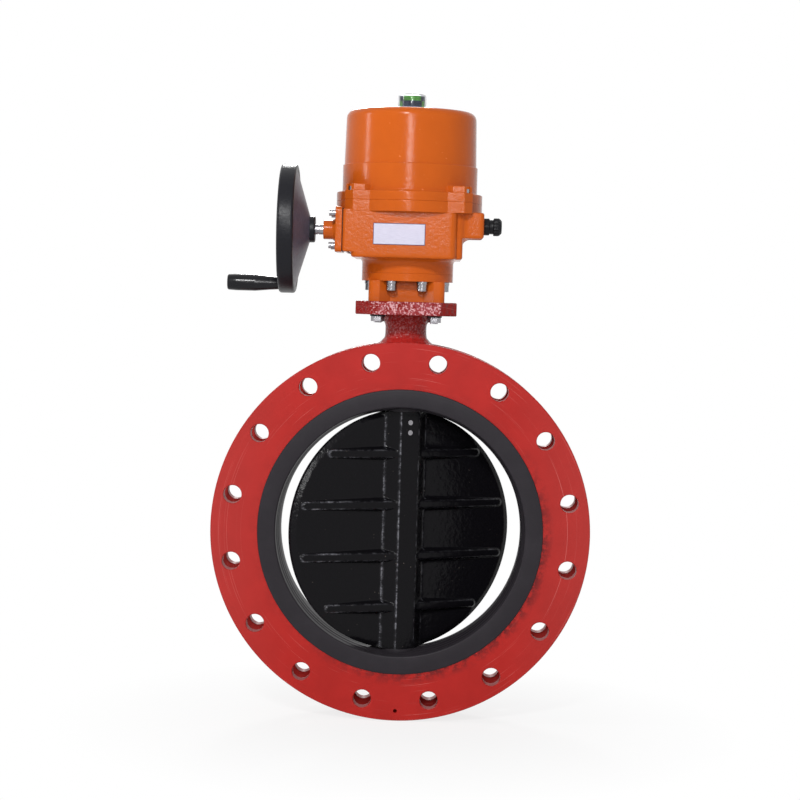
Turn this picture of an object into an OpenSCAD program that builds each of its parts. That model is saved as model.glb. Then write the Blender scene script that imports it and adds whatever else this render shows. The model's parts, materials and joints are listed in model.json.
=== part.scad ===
// Motorised butterfly valve with a double-flanged body, a rubber seat and a ribbed disc.
// The origin is the centre of the front flange's face: +Y runs along the pipe, +Z up the stem.
// At rest the disc stands partly open, and every size is in millimetres.

/* [Valve body] */
// Distance between the two flange faces
face_to_face = 102; // [90:1:130]
// Outer diameter of both flanges
flange_d = 597; // [590:1:620]
// Thickness of each flange
flange_t = 26; // [20:1:30]
// Distance from the flange holes' centres to the flange's edge
bolt_edge = 28.6; // [22:0.1:32]
// Number of holes in each flange
bolt_count = 16; // [12:4:20]
// Diameter of the flange holes
bolt_hole_d = 28.6; // [24:0.1:32]
// Wall of the barrel round the liner
barrel_wall = 24; // [18:1:30]
// Diameter of the small tapped hole in the front face
earth_hole_d = 6; // [5:0.5:8]
// Distance from the small tapped hole to the flange's edge
earth_hole_edge = 15.7; // [8:0.1:20]
// Depth of the small tapped hole
earth_hole_depth = 16; // [10:1:20]
// Outside diameter of the neck
neck_d = 65; // [60:1:75]
// Height of the drive plate's top above the flanges' edge
plate_rise = 63.5; // [55:0.5:80]
// Thickness of the drive plate
plate_t = 21; // [16:1:26]
// Width of the square drive plate
plate_w = 158; // [150:1:175]
// Length cut off each corner of the drive plate
plate_corner = 25; // [15:1:30]
// Depth of the lower trunnion below the bore centre
trunnion_depth = 268; // [262:1:280]

/* [Seat liner] */
// Smallest inside diameter of the rubber liner
seat_d = 382; // [376:0.5:386]
// How far the liner's mouth opens out from its waist
seat_flare = 5.5; // [4:0.1:7]
// Wall of the liner at its waist
seat_wall = 14; // [12:0.5:16]
// Width of the liner's face rings
seat_ring_w = 28; // [24:0.5:30]
// Thickness of the liner's face rings
seat_face_t = 5; // [4:0.5:7]
// How far the face rings stand out of the flanges
seat_proud = 1.5; // [0.5:0.5:3]
// Radius of the flat pads round the stems
seat_pad_r = 31; // [28:0.5:34]

/* [Disc] */
// Gap between the disc's edge and the liner
disc_gap = 0.4; // [0.3:0.05:1]
// Angle from shut at which the disc stands
disc_angle = 26; // [0:1:60]
// Half thickness of the plate at its middle
disc_half_t = 8.5; // [7:0.5:10]
// Half thickness of the plate at its edge
disc_edge_half_t = 4.5; // [3:0.5:6]
// Half thickness of the stem boss
boss_half_t = 26.7; // [24:0.1:30]
// Half width of the stem boss at its crest
boss_half_w = 15.8; // [12:0.1:18]
// Half width of the stem boss at its foot
boss_foot_half_w = 35.3; // [30:0.1:38]
// Heights of the outer pair of ribs from the centre
outer_rib_z = 122; // [115:1:130]
// Heights of the inner pair of ribs from the centre
inner_rib_z = 41; // [36:1:50]
// Width of a rib
rib_w = 13; // [9:1:16]
// Distance of the ribs' ends from the centre
rib_reach = 180; // [165:1:184]
// Half thickness over a rib's end
rib_end_half_t = 12.5; // [10:0.5:15]
// Half thickness over a rib at the boss
rib_root_half_t = 24; // [18:0.5:26]

/* [Stems] */
// Diameter of both stems
stem_d = 36; // [30:0.5:38]
// Wall of the stem bushes
bush_wall = 4; // [3:0.5:5]
// Height of the upper stem's top above the drive plate
stem_rise = 32; // [26:1:38]
// Depth of each stem inside the disc
stem_in_disc = 110; // [70:1:125]
// Diameter of the pins through the disc and the upper stem
pin_d = 8; // [6:0.5:10]
// Depth of the upper pin below the disc's top
pin_drop = 16.5; // [12:0.5:24]
// Distance between the two pins
pin_pitch = 16; // [12:0.5:24]
// Width of the stem's key
key_w = 10; // [8:1:12]
// Height of the stem's key
key_h = 8; // [6:1:9]

/* [Mounting spool] */
// Height of the spool
spool_h = 44; // [40:1:60]
// Distance from the spool's cap screws to the edge of its upper flange
spool_rim = 9.7; // [8:0.1:14]
// Thickness of the spool's upper flange
spool_flange_t = 12; // [9:1:14]
// Width of the spool's square foot
spool_w = 119; // [116:1:124]
// Diameter of the spool's bore
spool_bore_d = 62; // [60:1:66]
// Bolt circle of the drive plate and of the gear housing
drive_circle_d = 125; // [124:0.5:127]
// Thread diameter of the drive plate's studs
stud_d = 12; // [10:1:14]
// Thread diameter of the spool's cap screws
spool_screw_d = 10; // [8:1:10]
// Half width of the spool's side pockets at their mouth
pocket_mouth = 43.5; // [40:0.5:44]
// Half width of the spool's side pockets at their back
pocket_back = 25.5; // [24:0.5:30]
// Gap between the cap screws' heads and the back of the spool's side pockets
pocket_clear = 3.7; // [2:0.1:6]

/* [Gear housing] */
// Width across the drive square in the output shaft
drive_square = 27; // [22:1:28]
// Thickness of the housing's floor
floor_t = 8; // [6:0.5:12]
// Gap between the large spur gear and the housing's floor
spur_floor_gap = 1.1; // [0.8:0.1:4]
// Gap between the large spur gear and the housing's front wall
spur_front_gap = 9.1; // [4:0.1:14]
// Left face of the housing from the stem axis
housing_left = 100.6; // [99:0.1:104]
// Right face of the housing from the stem axis
housing_right = 75; // [72:1:80]
// Rounding of the housing's upright corners
housing_corner = 9; // [6:1:12]
// Wall of the housing
housing_wall = 6; // [5:0.5:7]
// How far the round joint flange stands out of the cover
joint_lip = 8.7; // [6:0.1:12]
// Height of the housing's joint face above the worm shaft
joint_rise = 46.5; // [42:0.5:60]
// Thickness of the housing's joint flange
joint_t = 17.5; // [14:0.5:20]
// Length cut off each corner of the joint flanges
joint_corner = 12.5; // [10:0.5:14]
// Distance from the corner screws to the housing's front and back faces
corner_inset = 10; // [9:0.5:12]
// Thread diameter of the corner screws
corner_screw_d = 6; // [5:1:6]
// Width of the cable box
cable_box_w = 66; // [56:1:80]
// Right face of the cable box from the stem axis
cable_box_right = 117.5; // [112:0.5:122]
// Height of the cable box
cable_box_h = 40.6; // [38:0.2:42]
// Outer diameter of the cable gland
gland_d = 28; // [24:1:30]
// Diameter of the hole for the cable
cable_hole_d = 10; // [8:0.5:12]
// Width of the bare nameplate
nameplate_w = 80; // [60:1:90]
// Height of the bare nameplate
nameplate_h = 33; // [25:1:40]

/* [Worm drive] */
// Number of teeth of the worm wheel
wheel_teeth = 36; // [34:1:38]
// Module of the worm wheel
wheel_module = 2; // [1.9:0.05:2.05]
// Pitch radius of the worm
worm_pitch_r = 14; // [13.5:0.1:15]
// Thickness of the worm wheel
wheel_t = 12; // [8:1:14]
// Number of turns of the worm's thread
worm_turns = 6; // [4:2:6]
// Diameter of the worm shaft
worm_shaft_d = 16; // [14:0.5:16]
// Height of the worm shaft above the spool
worm_rise = 65; // [63:0.5:67]
// Teeth of the spur gear on the worm shaft
spur_teeth = 64; // [60:2:64]
// Teeth of the idler's small gear
idler_small_teeth = 24; // [20:2:26]
// Teeth of the idler's large gear
idler_large_teeth = 50; // [44:2:50]
// Teeth of the motor pinion
pinion_teeth = 15; // [14:1:18]
// Thickness of the spur gears
spur_t = 6; // [4:0.5:6]
// Distance of the large spur gear from the stem axis
spur_left = 60; // [56:1:64]
// Diameter of the pin that carries the idler
idler_pin_d = 6; // [5:0.5:7]
// Outer diameter of the output shaft
output_d = 44; // [42:1:48]
// Diameter of the worm wheel's seat on the output shaft
wheel_seat_d = 40; // [36:1:44]
// Diameter of the output shaft's upper journal
journal_d = 30; // [24:1:34]
// Distance of the worm shaft's right bearing from the stem axis
right_bearing_x = 44; // [42:1:48]
// Length of the worm shaft's right bearing
right_bearing_t = 14; // [10:1:16]
// Thickness of the gear plate
gear_plate_t = 6; // [5:0.5:8]
// Thread diameter of the gear plate's screws
gear_plate_screw_d = 4; // [3:1:5]

/* [Motor and switchgear] */
// Diameter of the motor
motor_d = 54; // [44:1:56]
// Length of the motor
motor_l = 88; // [70:1:96]
// Diameter of the motor's shaft
motor_shaft_d = 8; // [5:0.5:9]
// Gap between the motor's corner and the cover
motor_gap = 7.7; // [4:0.1:12]
// Diameter of the limit cams
cam_d = 32; // [26:1:34]
// Thickness of one limit cam
cam_t = 7; // [5:0.5:8]
// Diameter of the indicator shaft
indicator_shaft_d = 10; // [8:1:12]

/* [Cover] */
// Thickness of the cover's joint flange
cover_flange_t = 14.5; // [12:0.5:18]
// Width of the step round the cover
cover_step_w = 2.1; // [1:0.1:4]
// How much the cover narrows from its step to its top
cover_draft = 1.8; // [0.5:0.1:4]
// Width of the seal in the joint
cover_seal_w = 3; // [2:0.5:4]
// Thickness of the seal in the joint
cover_seal_t = 2.4; // [1.5:0.1:4]
// Height of the step above the joint
cover_step_rise = 57.5; // [50:0.5:70]
// Height of the cover's top above the joint
cover_top_rise = 143.7; // [140:0.1:156]
// Rounding of the cover's top edge
cover_round = 12; // [8:0.5:16]
// Wall of the cover
cover_wall = 5; // [4:0.5:6]
// Height of the corner lugs above the joint
lug_rise = 24.2; // [22:0.1:28]
// Width of the corner lugs
lug_w = 31; // [28:0.5:36]
// Diameter of the clear indicator dome
dome_d = 44.8; // [38:0.2:48]
// Height of the clear indicator dome
dome_h = 27.1; // [22:0.1:30]
// Share of the indicator drum below its change of colours
flag_split = 0.68; // [0.5:0.01:0.75]
// Wall of the clear indicator dome
dome_wall = 1.5; // [1.2:0.1:2]

/* [Handwheel] */
// Diameter of the handwheel
wheel_d = 200; // [180:1:240]
// Width of the handwheel's rim
rim_w = 25; // [22:1:30]
// Radial depth of the handwheel's rim
rim_depth = 11; // [8:1:14]
// Distance from the hub's inner face to the rim's outer face
rim_offset = 54; // [46:1:64]
// Length of bare shaft between the side cover's boss and the hub
hub_gap = 13; // [8:1:20]
// Diameter of the handwheel's hub
hub_d = 41; // [34:1:46]
// Distance from the turning handle's axis to the wheel's edge
handle_inset = 14.5; // [14:0.5:24]
// Length of the turning handle
handle_l = 80; // [60:1:95]
// Diameter of the turning handle
handle_d = 25.6; // [22:0.2:30]
// Diameter of the handle's spindle
spindle_d = 8; // [6:0.5:10]

/* [Side cover] */
// Width of the side cover
side_w = 94; // [90:1:96]
// Height of the side cover
side_h = 70; // [68:1:72]
// Thickness of the side cover
side_t = 11.4; // [9:0.2:14]
// Distance from the side cover's screws to its edges
side_screw_inset = 10; // [8:0.5:11]
// Thread diameter of the side cover's screws
side_screw_d = 6; // [5:1:6]
// Diameter of the side cover's long boss
side_boss_d = 30; // [28:1:34]
// Length of the side cover's long boss
side_boss_l = 20; // [16:0.5:22]

/* [Hidden] */
$fn = 96;
fit = 0.05;                                  // radial clearance of seats and running fits
run = 0.3;                                   // gap between moving and still faces
eps = 0.01;
stem_y = face_to_face / 2;
body_bore_r = seat_d / 2 + seat_wall;
barrel_r = body_bore_r + barrel_wall;
bolt_circle_d = flange_d - 2 * bolt_edge;
seat_mouth_r = seat_d / 2 + seat_flare;
seat_face_r = seat_mouth_r + seat_ring_w;
disc_r = seat_d / 2 - disc_gap;
stem_r = stem_d / 2;
bush_r = stem_r + bush_wall;
hub_z = sqrt(disc_r * disc_r - seat_pad_r * seat_pad_r);
pin_high_z = hub_z - pin_drop;
pin_low_z = pin_high_z - pin_pitch;
plate_top_z = flange_d / 2 + plate_rise;
plate_low_z = plate_top_z - plate_t;
spool_top_z = plate_top_z + spool_h;
stud_at = drive_circle_d / 2 / sqrt(2);
spool_flange_d = drive_circle_d + 2 * spool_rim;
pocket_back_y = drive_circle_d / 2 * cos(22.5) - 0.8 * spool_screw_d - pocket_clear;
worm_z = spool_top_z + worm_rise;
joint_z = worm_z + joint_rise;
spur_tip_r = spur_teeth / 2 + 0.9;
floor_z = worm_z - spur_tip_r - spur_floor_gap - floor_t;
wheel_pitch_r = wheel_teeth * wheel_module / 2;
worm_y = -(wheel_pitch_r + worm_pitch_r);
worm_pitch = 3.14159265 * wheel_module;
worm_root_r = worm_pitch_r - 1.25 * wheel_module;
worm_l = worm_turns * worm_pitch + 6;
idler_z = worm_z + (spur_teeth + idler_small_teeth) / 2;
motor_z = idler_z + (idler_large_teeth + pinion_teeth) / 2;
housing_half_depth = spur_tip_r - worm_y + spur_front_gap + housing_wall;
corner_screw = housing_half_depth - corner_inset;
cavity_left = housing_left - housing_wall;
cavity_right = housing_right - housing_wall;
cavity_depth = housing_half_depth - housing_wall;
cavity_low_z = floor_z + floor_t;
gear_plate_z = joint_z - joint_t;
gear_plate_top = gear_plate_z + gear_plate_t;
spur_x = -spur_left;
large_x = spur_x + spur_t + 2;
motor_left = large_x + spur_t + 4;
motor_r = motor_d / 2;
motor_shaft_r = motor_shaft_d / 2;
cover_top_r = norm([motor_left + motor_l, motor_r - worm_y]) + motor_gap + cover_wall;
cover_high_r = cover_top_r + cover_draft;
cover_low_r = cover_high_r + cover_step_w;
joint_r = cover_low_r + joint_lip;
gear_plate_r = cover_low_r - cover_wall - 1.8;
seal_r = joint_r - 4.5;
idler_pin_r = idler_pin_d / 2;
cover_top_z = joint_z + cover_top_rise;
indicator_r = indicator_shaft_d / 2;
drum_r = dome_d / 2 - dome_wall - 0.7;
drum_z = cover_top_z + 0.8;
drum_h = dome_h - dome_wall - 2.4;
output_r = output_d / 2;
output_bush_r = output_r + 5;
wheel_seat_r = wheel_seat_d / 2;
journal_r = journal_d / 2;
worm_shaft_r = worm_shaft_d / 2;
side_face_x = -(housing_left + side_t);
boss_end_x = side_face_x - side_boss_l;
side_screw_y = side_w / 2 - side_screw_inset;
side_screw_z = side_h / 2 - side_screw_inset;
hub_right = hub_gap - boss_end_x;
rim_left = hub_right + rim_offset;
handle_r = wheel_d / 2 - handle_inset;
cable_y = -45;
cable_z = joint_z - 35.5;
cable_box_low = joint_z - 14.9 - cable_box_h;
hub_left = rim_left - 22;
spindle_z = worm_z - handle_r;
handle_right = -(rim_left + run + 0.7);
bridge_w = cavity_right - cavity_left;
cam_z = gear_plate_top + 26;
nut_h = 8;
washer_t = 2.5;
cap_washer_t = 5;
lug_floor = cover_flange_t - 0.5;            // spot face under the corner screws, above the joint

// ---------- helpers ----------

// Moves its children from the stem's own frame to the valve's.
module at_stem() { translate([0, stem_y, 0]) children(); }

// Turns the extrusion direction from +Z to +X: the sketch's x and y become +Y and +Z.
module along_x(x = 0, y = 0, z = 0) { translate([x, y, z]) rotate([90, 0, 90]) children(); }

// Turns the extrusion direction from +Z to +Y.
module along_y(x = 0, y = 0, z = 0) { translate([x, y, z]) rotate([-90, 0, 0]) children(); }

// Repeats its children at the four corners of a square.
module four_corners(at) {
    for (sx = [-1, 1], sy = [-1, 1]) translate([sx * at, sy * at, 0]) children();
}

// Repeats its children round a circle about Z.
module ring_of(count, r, first = 0) {
    for (i = [0 : count - 1]) rotate([0, 0, first + i * 360 / count]) translate([r, 0, 0]) children();
}

// Upright tube standing on z.
module tube(r_out, r_in, h, z = 0) {
    translate([0, 0, z]) difference() {
        cylinder(r = r_out, h = h);
        translate([0, 0, -1]) cylinder(r = r_in, h = h + 2);
    }
}

// Square with its corners cut off.
module cut_square(w, c) {
    polygon([[-w, -w + c], [-w + c, -w], [w - c, -w], [w, -w + c],
             [w, w - c], [w - c, w], [-w + c, w], [-w, w - c]]);
}

// Upright block between two corners.
module block(a, b) { translate(a) cube(b - a); }

// Flat rectangle with round corners.
module round_rect(a, b, r) {
    for (x = [a[0] + r, b[0] - r], y = [a[1] + r, b[1] - r]) translate([x, y]) circle(r = r);
    translate([a[0] + r, a[1]]) square([b[0] - a[0] - 2 * r, b[1] - a[1]]);
    translate([a[0], a[1] + r]) square([b[0] - a[0], b[1] - a[1] - 2 * r]);
}

// Cap screw pointing up, its head's top face on z = 0 below and its shank above.
module cap_screw(d, length, head_h = 0) {
    h = head_h > 0 ? head_h : d;
    difference() {
        union() {
            cylinder(d = 1.6 * d, h = h);
            cylinder(d = d, h = h + length);
        }
        translate([0, 0, -1]) cylinder(d = 0.95 * d, h = 1 + h * 0.55, $fn = 6);
    }
}

// Outline of a gear with straight-sided teeth, thinned for backlash, one tooth at tooth_at.
module gear_outline(teeth, m, thick, tip, root, slope, tooth_at = 0) {
    pitch_r = teeth * m / 2;
    function edge(r) = (thick / 2 - (r - pitch_r) * tan(slope)) / r * 57.29578;
    r_tip = pitch_r + tip;
    r_root = pitch_r - root;
    function at(r, a) = [r * cos(a), r * sin(a)];
    polygon([for (i = [0 : teeth - 1]) let (a = tooth_at + i * 360 / teeth)
        each [at(r_root, a - edge(r_root)), at(r_tip, a - edge(r_tip)),
              at(r_tip, a + edge(r_tip)), at(r_root, a + edge(r_root))]]);
}

// Spur gear of module 1 with its axis along X.
module spur_gear(x, z, teeth, bore_r, tooth_at) {
    along_x(x, worm_y, z) linear_extrude(spur_t) difference() {
        gear_outline(teeth, 1, 1.2, 0.9, 1.25, 20, tooth_at);
        circle(r = bore_r);
    }
}

// ---------- valve ----------

module valve_body() color("firebrick") difference() {
    union() {
        for (y = [0, face_to_face - flange_t]) along_y(0, y) cylinder(d = flange_d, h = flange_t, $fn = 180);
        along_y() cylinder(r = barrel_r, h = face_to_face, $fn = 180);
        at_stem() {
            cylinder(d = neck_d, h = plate_top_z - eps);
            translate([0, 0, flange_d / 2 - 12]) cylinder(r1 = neck_d / 2 + 14, r2 = neck_d / 2, h = 22);
            translate([0, 0, plate_low_z - 12]) cylinder(r1 = neck_d / 2, r2 = neck_d / 2 + 12, h = 12 + eps);
            translate([0, 0, plate_low_z]) linear_extrude(plate_t) cut_square(plate_w / 2, plate_corner);
            mirror([0, 0, 1]) cylinder(d = neck_d, h = trunnion_depth);
        }
    }
    along_y(0, -1) cylinder(r = body_bore_r, h = face_to_face + 2, $fn = 180);
    for (y = [-1, face_to_face - seat_face_t + seat_proud])
        along_y(0, y) cylinder(r = seat_face_r + fit, h = 1 + seat_face_t - seat_proud, $fn = 180);
    for (i = [0 : bolt_count - 1]) rotate([0, 360 / bolt_count * (i + 0.5), 0])
        along_y(0, -1, bolt_circle_d / 2) cylinder(d = bolt_hole_d, h = face_to_face + 2);
    along_y(0, -1, earth_hole_edge - flange_d / 2) cylinder(d = earth_hole_d, h = earth_hole_depth + 1);
    at_stem() {
        cylinder(r = bush_r + fit, h = plate_top_z + 1);
        translate([0, 0, plate_top_z - 5]) cylinder(r = bush_r + 5, h = 6);
        translate([0, 0, plate_low_z - 1]) four_corners(stud_at) cylinder(d = stud_d + 1.5, h = plate_t + 2);
        mirror([0, 0, 1]) cylinder(r = bush_r + fit, h = trunnion_depth + 1);
    }
}

// Half of the liner's section from its middle to one face, as points of radius and height.
seat_section = [
    [seat_d / 2, 0], [seat_d / 2, 15], [seat_d / 2 + 1.5, 22], [seat_d / 2 + 1.5, 27],
    [seat_d / 2 + 3, 31], [seat_d / 2 + 3, 37], [seat_mouth_r - 2, 41],
    [seat_mouth_r, stem_y + seat_proud], [seat_face_r, stem_y + seat_proud],
    [seat_face_r, stem_y + seat_proud - seat_face_t],
    [body_bore_r - fit, stem_y + seat_proud - seat_face_t], [body_bore_r - fit, 0]
];

module seat_liner() color("dimgray") difference() {
    union() {
        at_stem() for (side = [-90, 90]) rotate([side, 0, 0]) rotate_extrude($fn = 180) polygon(seat_section);
        at_stem() for (end = [0, 180]) rotate([end, 0, 0]) translate([0, 0, hub_z + run])
            cylinder(r = seat_pad_r, h = seat_wall - 3);
    }
    at_stem() translate([0, 0, -body_bore_r - 20]) cylinder(r = stem_r + run, h = 2 * body_bore_r + 40);
}

// Disc's section from the middle of the plate to its edge.
module disc_plate() {
    rotate([90, 0, 0]) rotate_extrude($fn = 180)
        polygon([[0, -disc_half_t], [disc_r - 14, -disc_half_t], [disc_r - 7, -disc_half_t + 0.5],
                 [disc_r, -disc_edge_half_t], [disc_r, disc_edge_half_t],
                 [disc_r - 7, disc_half_t - 0.5], [disc_r - 14, disc_half_t], [0, disc_half_t]]);
}

module disc_boss() {
    w = boss_half_w;
    f = boss_foot_half_w;
    t = boss_half_t;
    b = disc_half_t - 1;
    translate([0, 0, -hub_z]) linear_extrude(2 * hub_z)
        polygon([[-f, -b], [-w, -t], [w, -t], [f, -b], [f, b], [w, t], [-w, t], [-f, b]]);
}

module disc_rib(z) {
    reach = sqrt(rib_reach * rib_reach - z * z) - rib_w / 2;
    e = rib_end_half_t;
    r = rib_root_half_t;
    w = boss_half_w;
    translate([0, 0, z - rib_w / 2]) linear_extrude(rib_w)
        polygon([[-reach, -e], [-w, -r], [w, -r], [reach, -e], [reach, e], [w, r], [-w, r], [-reach, e]]);
    for (side = [-1, 1]) along_y(side * reach, -e, z) cylinder(d = rib_w, h = 2 * e);
}

module disc() color("black") at_stem() rotate([0, 0, disc_angle]) difference() {
    intersection() {
        union() {
            disc_plate();
            disc_boss();
            for (z = [-outer_rib_z, -inner_rib_z, inner_rib_z, outer_rib_z]) disc_rib(z);
        }
        sphere(r = norm([disc_r, disc_edge_half_t]), $fn = 180);
    }
    for (end = [0, 180]) rotate([end, 0, 0]) {
        translate([0, 0, hub_z]) cylinder(r = seat_pad_r + run, h = 20);
        translate([0, 0, hub_z - stem_in_disc]) cylinder(r = stem_r + fit, h = stem_in_disc + 1);
    }
    for (z = [pin_low_z, pin_high_z]) along_y(0, -boss_half_t - 1, z) cylinder(d = pin_d, h = 2 * boss_half_t + 2);
}

module disc_pins() color("silver") at_stem() rotate([0, 0, disc_angle])
    for (z = [pin_low_z, pin_high_z]) along_y(0, -boss_half_t - 0.6, z) cylinder(d = pin_d - 2 * fit, h = 2 * boss_half_t + 1.2);

module upper_stem() color("silver") at_stem() rotate([0, 0, disc_angle]) difference() {
    translate([0, 0, hub_z - stem_in_disc + 1]) cylinder(d = stem_d, h = plate_top_z + stem_rise - hub_z + stem_in_disc - 1);
    for (z = [pin_low_z, pin_high_z]) along_y(0, -stem_d, z) cylinder(d = pin_d, h = 2 * stem_d);
    block([stem_r - key_h / 2, -key_w / 2, plate_top_z + 6],
          [stem_r + 1, key_w / 2, plate_top_z + stem_rise + 1]);
}

module lower_stem() color("silver") at_stem()
    translate([0, 0, -trunnion_depth + 14]) cylinder(d = stem_d, h = trunnion_depth - 14 - hub_z + stem_in_disc - 1);

module stem_key() color("gray") at_stem() rotate([0, 0, disc_angle])
    block([stem_r - key_h / 2 + fit, -key_w / 2 + fit, plate_top_z + 6 + fit],
          [stem_r + key_h / 2 - fit, key_w / 2 - fit, plate_top_z + stem_rise]);

module stem_bush(z, h) { tube(bush_r, stem_r + fit, h, z); }
module upper_bush() color("darkgoldenrod") at_stem() stem_bush(plate_low_z - 46, 46);
module middle_bush() color("darkgoldenrod") at_stem() stem_bush(body_bore_r + 4, 46);
module lower_bush() color("darkgoldenrod") at_stem()
    stem_bush(17 - trunnion_depth, trunnion_depth - 17 - body_bore_r - 4);
module stem_seal() color("dimgray") at_stem() tube(bush_r, stem_r + fit, plate_t - 6, plate_low_z + 0.5);

module stem_retainer() color("silver") at_stem() tube(bush_r + 5 - fit, stem_r + run, 5, plate_top_z - 5);

module bottom_plug() color("gray") at_stem() difference() {
    translate([0, 0, -trunnion_depth]) cylinder(r = bush_r, h = 13.7);
    translate([0, 0, -trunnion_depth - 1]) cylinder(d = 17, h = 8, $fn = 6);
}

// ---------- spool between valve and gear housing ----------

module mounting_spool() color("chocolate") at_stem() translate([0, 0, plate_top_z]) difference() {
    union() {
        translate([0, 0, spool_h - spool_flange_t]) cylinder(d = spool_flange_d, h = spool_flange_t);
        linear_extrude(spool_h - spool_flange_t + eps) difference() {
            round_rect([-spool_w / 2, -spool_w / 2], [spool_w / 2, spool_w / 2], 8);
            for (a = [0 : 90 : 270]) rotate(a)
                polygon([[-pocket_mouth, spool_w / 2 + 1], [pocket_mouth, spool_w / 2 + 1],
                         [pocket_back, pocket_back_y], [-pocket_back, pocket_back_y]]);
        }
    }
    translate([0, 0, -1]) cylinder(d = spool_bore_d, h = spool_h + 2);
    translate([0, 0, -1]) four_corners(stud_at) cylinder(d = stud_d + 2 * fit, h = 23);
    translate([0, 0, spool_h - spool_flange_t - 1]) ring_of(8, drive_circle_d / 2, 22.5)
        cylinder(d = spool_screw_d + 0.8, h = spool_flange_t + 2);
}

module plate_studs() color("silver") at_stem() translate([0, 0, plate_low_z - washer_t - nut_h - 2])
    four_corners(stud_at) cylinder(d = stud_d, h = washer_t + nut_h + 2 + plate_t + 20);

module plate_nuts() color("silver") at_stem() translate([0, 0, plate_low_z - washer_t - nut_h])
    four_corners(stud_at) difference() {
        cylinder(d = 1.8 * stud_d, h = nut_h, $fn = 6);
        translate([0, 0, -1]) cylinder(d = stud_d + 2 * fit, h = nut_h + 2);
    }

module plate_washers() color("black") at_stem() translate([0, 0, plate_low_z - washer_t])
    four_corners(stud_at) tube(stud_d, stud_d / 2 + 0.4, washer_t);

module spool_screws() color("silver") at_stem()
    translate([0, 0, spool_top_z - spool_flange_t - cap_washer_t - spool_screw_d])
    ring_of(8, drive_circle_d / 2, 22.5) cap_screw(spool_screw_d, cap_washer_t + spool_flange_t + 16);

module spool_screw_washers() color("silver") at_stem()
    translate([0, 0, spool_top_z - spool_flange_t - cap_washer_t])
    ring_of(8, drive_circle_d / 2, 22.5) tube(0.88 * spool_screw_d, spool_screw_d / 2 + 0.2, cap_washer_t);

module drive_coupling() color("gray") at_stem() rotate([0, 0, disc_angle]) difference() {
    union() {
        translate([0, 0, plate_top_z + 4]) cylinder(r = spool_bore_d / 2 - 2, h = spool_h - 6);
        translate([-drive_square / 2, -drive_square / 2, spool_top_z - 3])
            cube([drive_square, drive_square, 34]);
    }
    translate([0, 0, plate_top_z]) cylinder(r = stem_r + fit, h = stem_rise + 0.5);
    block([0, -key_w / 2, plate_top_z], [stem_r + key_h / 2, key_w / 2, plate_top_z + stem_rise + 0.5]);
}

// ---------- gear housing ----------

// Outline shared by the joint flanges of housing and cover.
module joint_outline() {
    circle(r = joint_r);
    cut_square(housing_half_depth + 0.5, joint_corner);
}

module housing_shell() {
    translate([0, 0, spool_top_z]) cylinder(d = spool_flange_d, h = floor_z - spool_top_z + 1);
    translate([0, 0, floor_z - 10]) cylinder(r1 = spool_flange_d / 2, r2 = spool_flange_d / 2 + 10, h = 10);
    translate([0, 0, floor_z]) linear_extrude(joint_z - joint_t + 1 - floor_z)
        round_rect([-housing_left, -housing_half_depth], [housing_right, housing_half_depth], housing_corner);
    translate([0, 0, floor_z + 2]) linear_extrude(joint_z - joint_t - floor_z)
        round_rect([0, -housing_half_depth + 14], [housing_right + 10, housing_half_depth - 14], housing_corner);
    translate([0, 0, joint_z - joint_t]) linear_extrude(joint_t) joint_outline();
    translate([0, 0, cable_box_low]) linear_extrude(cable_box_h)
        round_rect([0, cable_y - cable_box_w / 2], [cable_box_right, cable_y + cable_box_w / 2], 6);
}

module housing_space() {
    translate([0, 0, cavity_low_z]) linear_extrude(gear_plate_z - cavity_low_z)
        round_rect([-cavity_left, -cavity_depth], [cavity_right, cavity_depth], housing_corner - 4);
    translate([0, 0, gear_plate_z - eps]) cylinder(r = gear_plate_r + fit, h = joint_z - gear_plate_z + 1);
    translate([0, 0, cable_box_low + housing_wall])
        linear_extrude(cable_box_h - 2 * housing_wall - 3)
        round_rect([0, cable_y - cable_box_w / 2 + housing_wall],
                   [cable_box_right - housing_wall, cable_y + cable_box_w / 2 - housing_wall], 3);
}

// Boss inside the right wall that carries the worm shaft's end.
module right_bearing_boss() {
    along_x(right_bearing_x, worm_y, worm_z) cylinder(r = worm_shaft_r + 8, h = cavity_right - right_bearing_x + 1);
}

module gear_housing() color("chocolate") at_stem() difference() {
    union() {
        difference() {
            housing_shell();
            housing_space();
        }
        right_bearing_boss();
    }
    translate([0, 0, spool_top_z - 1]) cylinder(r = output_bush_r + fit, h = cavity_low_z - spool_top_z + 2);
    translate([0, 0, spool_top_z - 1]) ring_of(8, drive_circle_d / 2, 22.5)
        cylinder(d = spool_screw_d + 2 * fit, h = 18);
    along_x(right_bearing_x - 1, worm_y, worm_z) cylinder(r = worm_shaft_r + 3 + fit, h = right_bearing_t + 3);
    along_x(-housing_left - 1, worm_y, worm_z) cylinder(r = 26, h = housing_wall + 2);
    block([-joint_r - 1, worm_y - side_w / 2 - 3, joint_z - joint_t - 1],
          [-housing_left, worm_y + side_w / 2 + run, worm_z + side_h / 2 + run]);
    for (dy = [-side_screw_y, side_screw_y], dz = [-side_screw_z, side_screw_z])
        along_x(-housing_left - 1, worm_y + dy, worm_z + dz) cylinder(d = side_screw_d + 2 * fit, h = housing_wall + 2);
    along_x(cable_box_right - housing_wall - 1, cable_y, cable_z) cylinder(d = gland_d - 8 + 2 * fit, h = housing_wall + 2);
    translate([0, 0, joint_z - 15]) four_corners(corner_screw) cylinder(d = corner_screw_d + 2 * fit, h = 16);
    tube(seal_r + fit, seal_r - cover_seal_w - fit, cover_seal_t + 1, joint_z - cover_seal_t);
    for (a = [45 : 90 : 315]) rotate([0, 0, a]) translate([gear_plate_r - 4, 0, gear_plate_z - 8])
        cylinder(d = gear_plate_screw_d + 2 * fit, h = 9);
}

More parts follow.
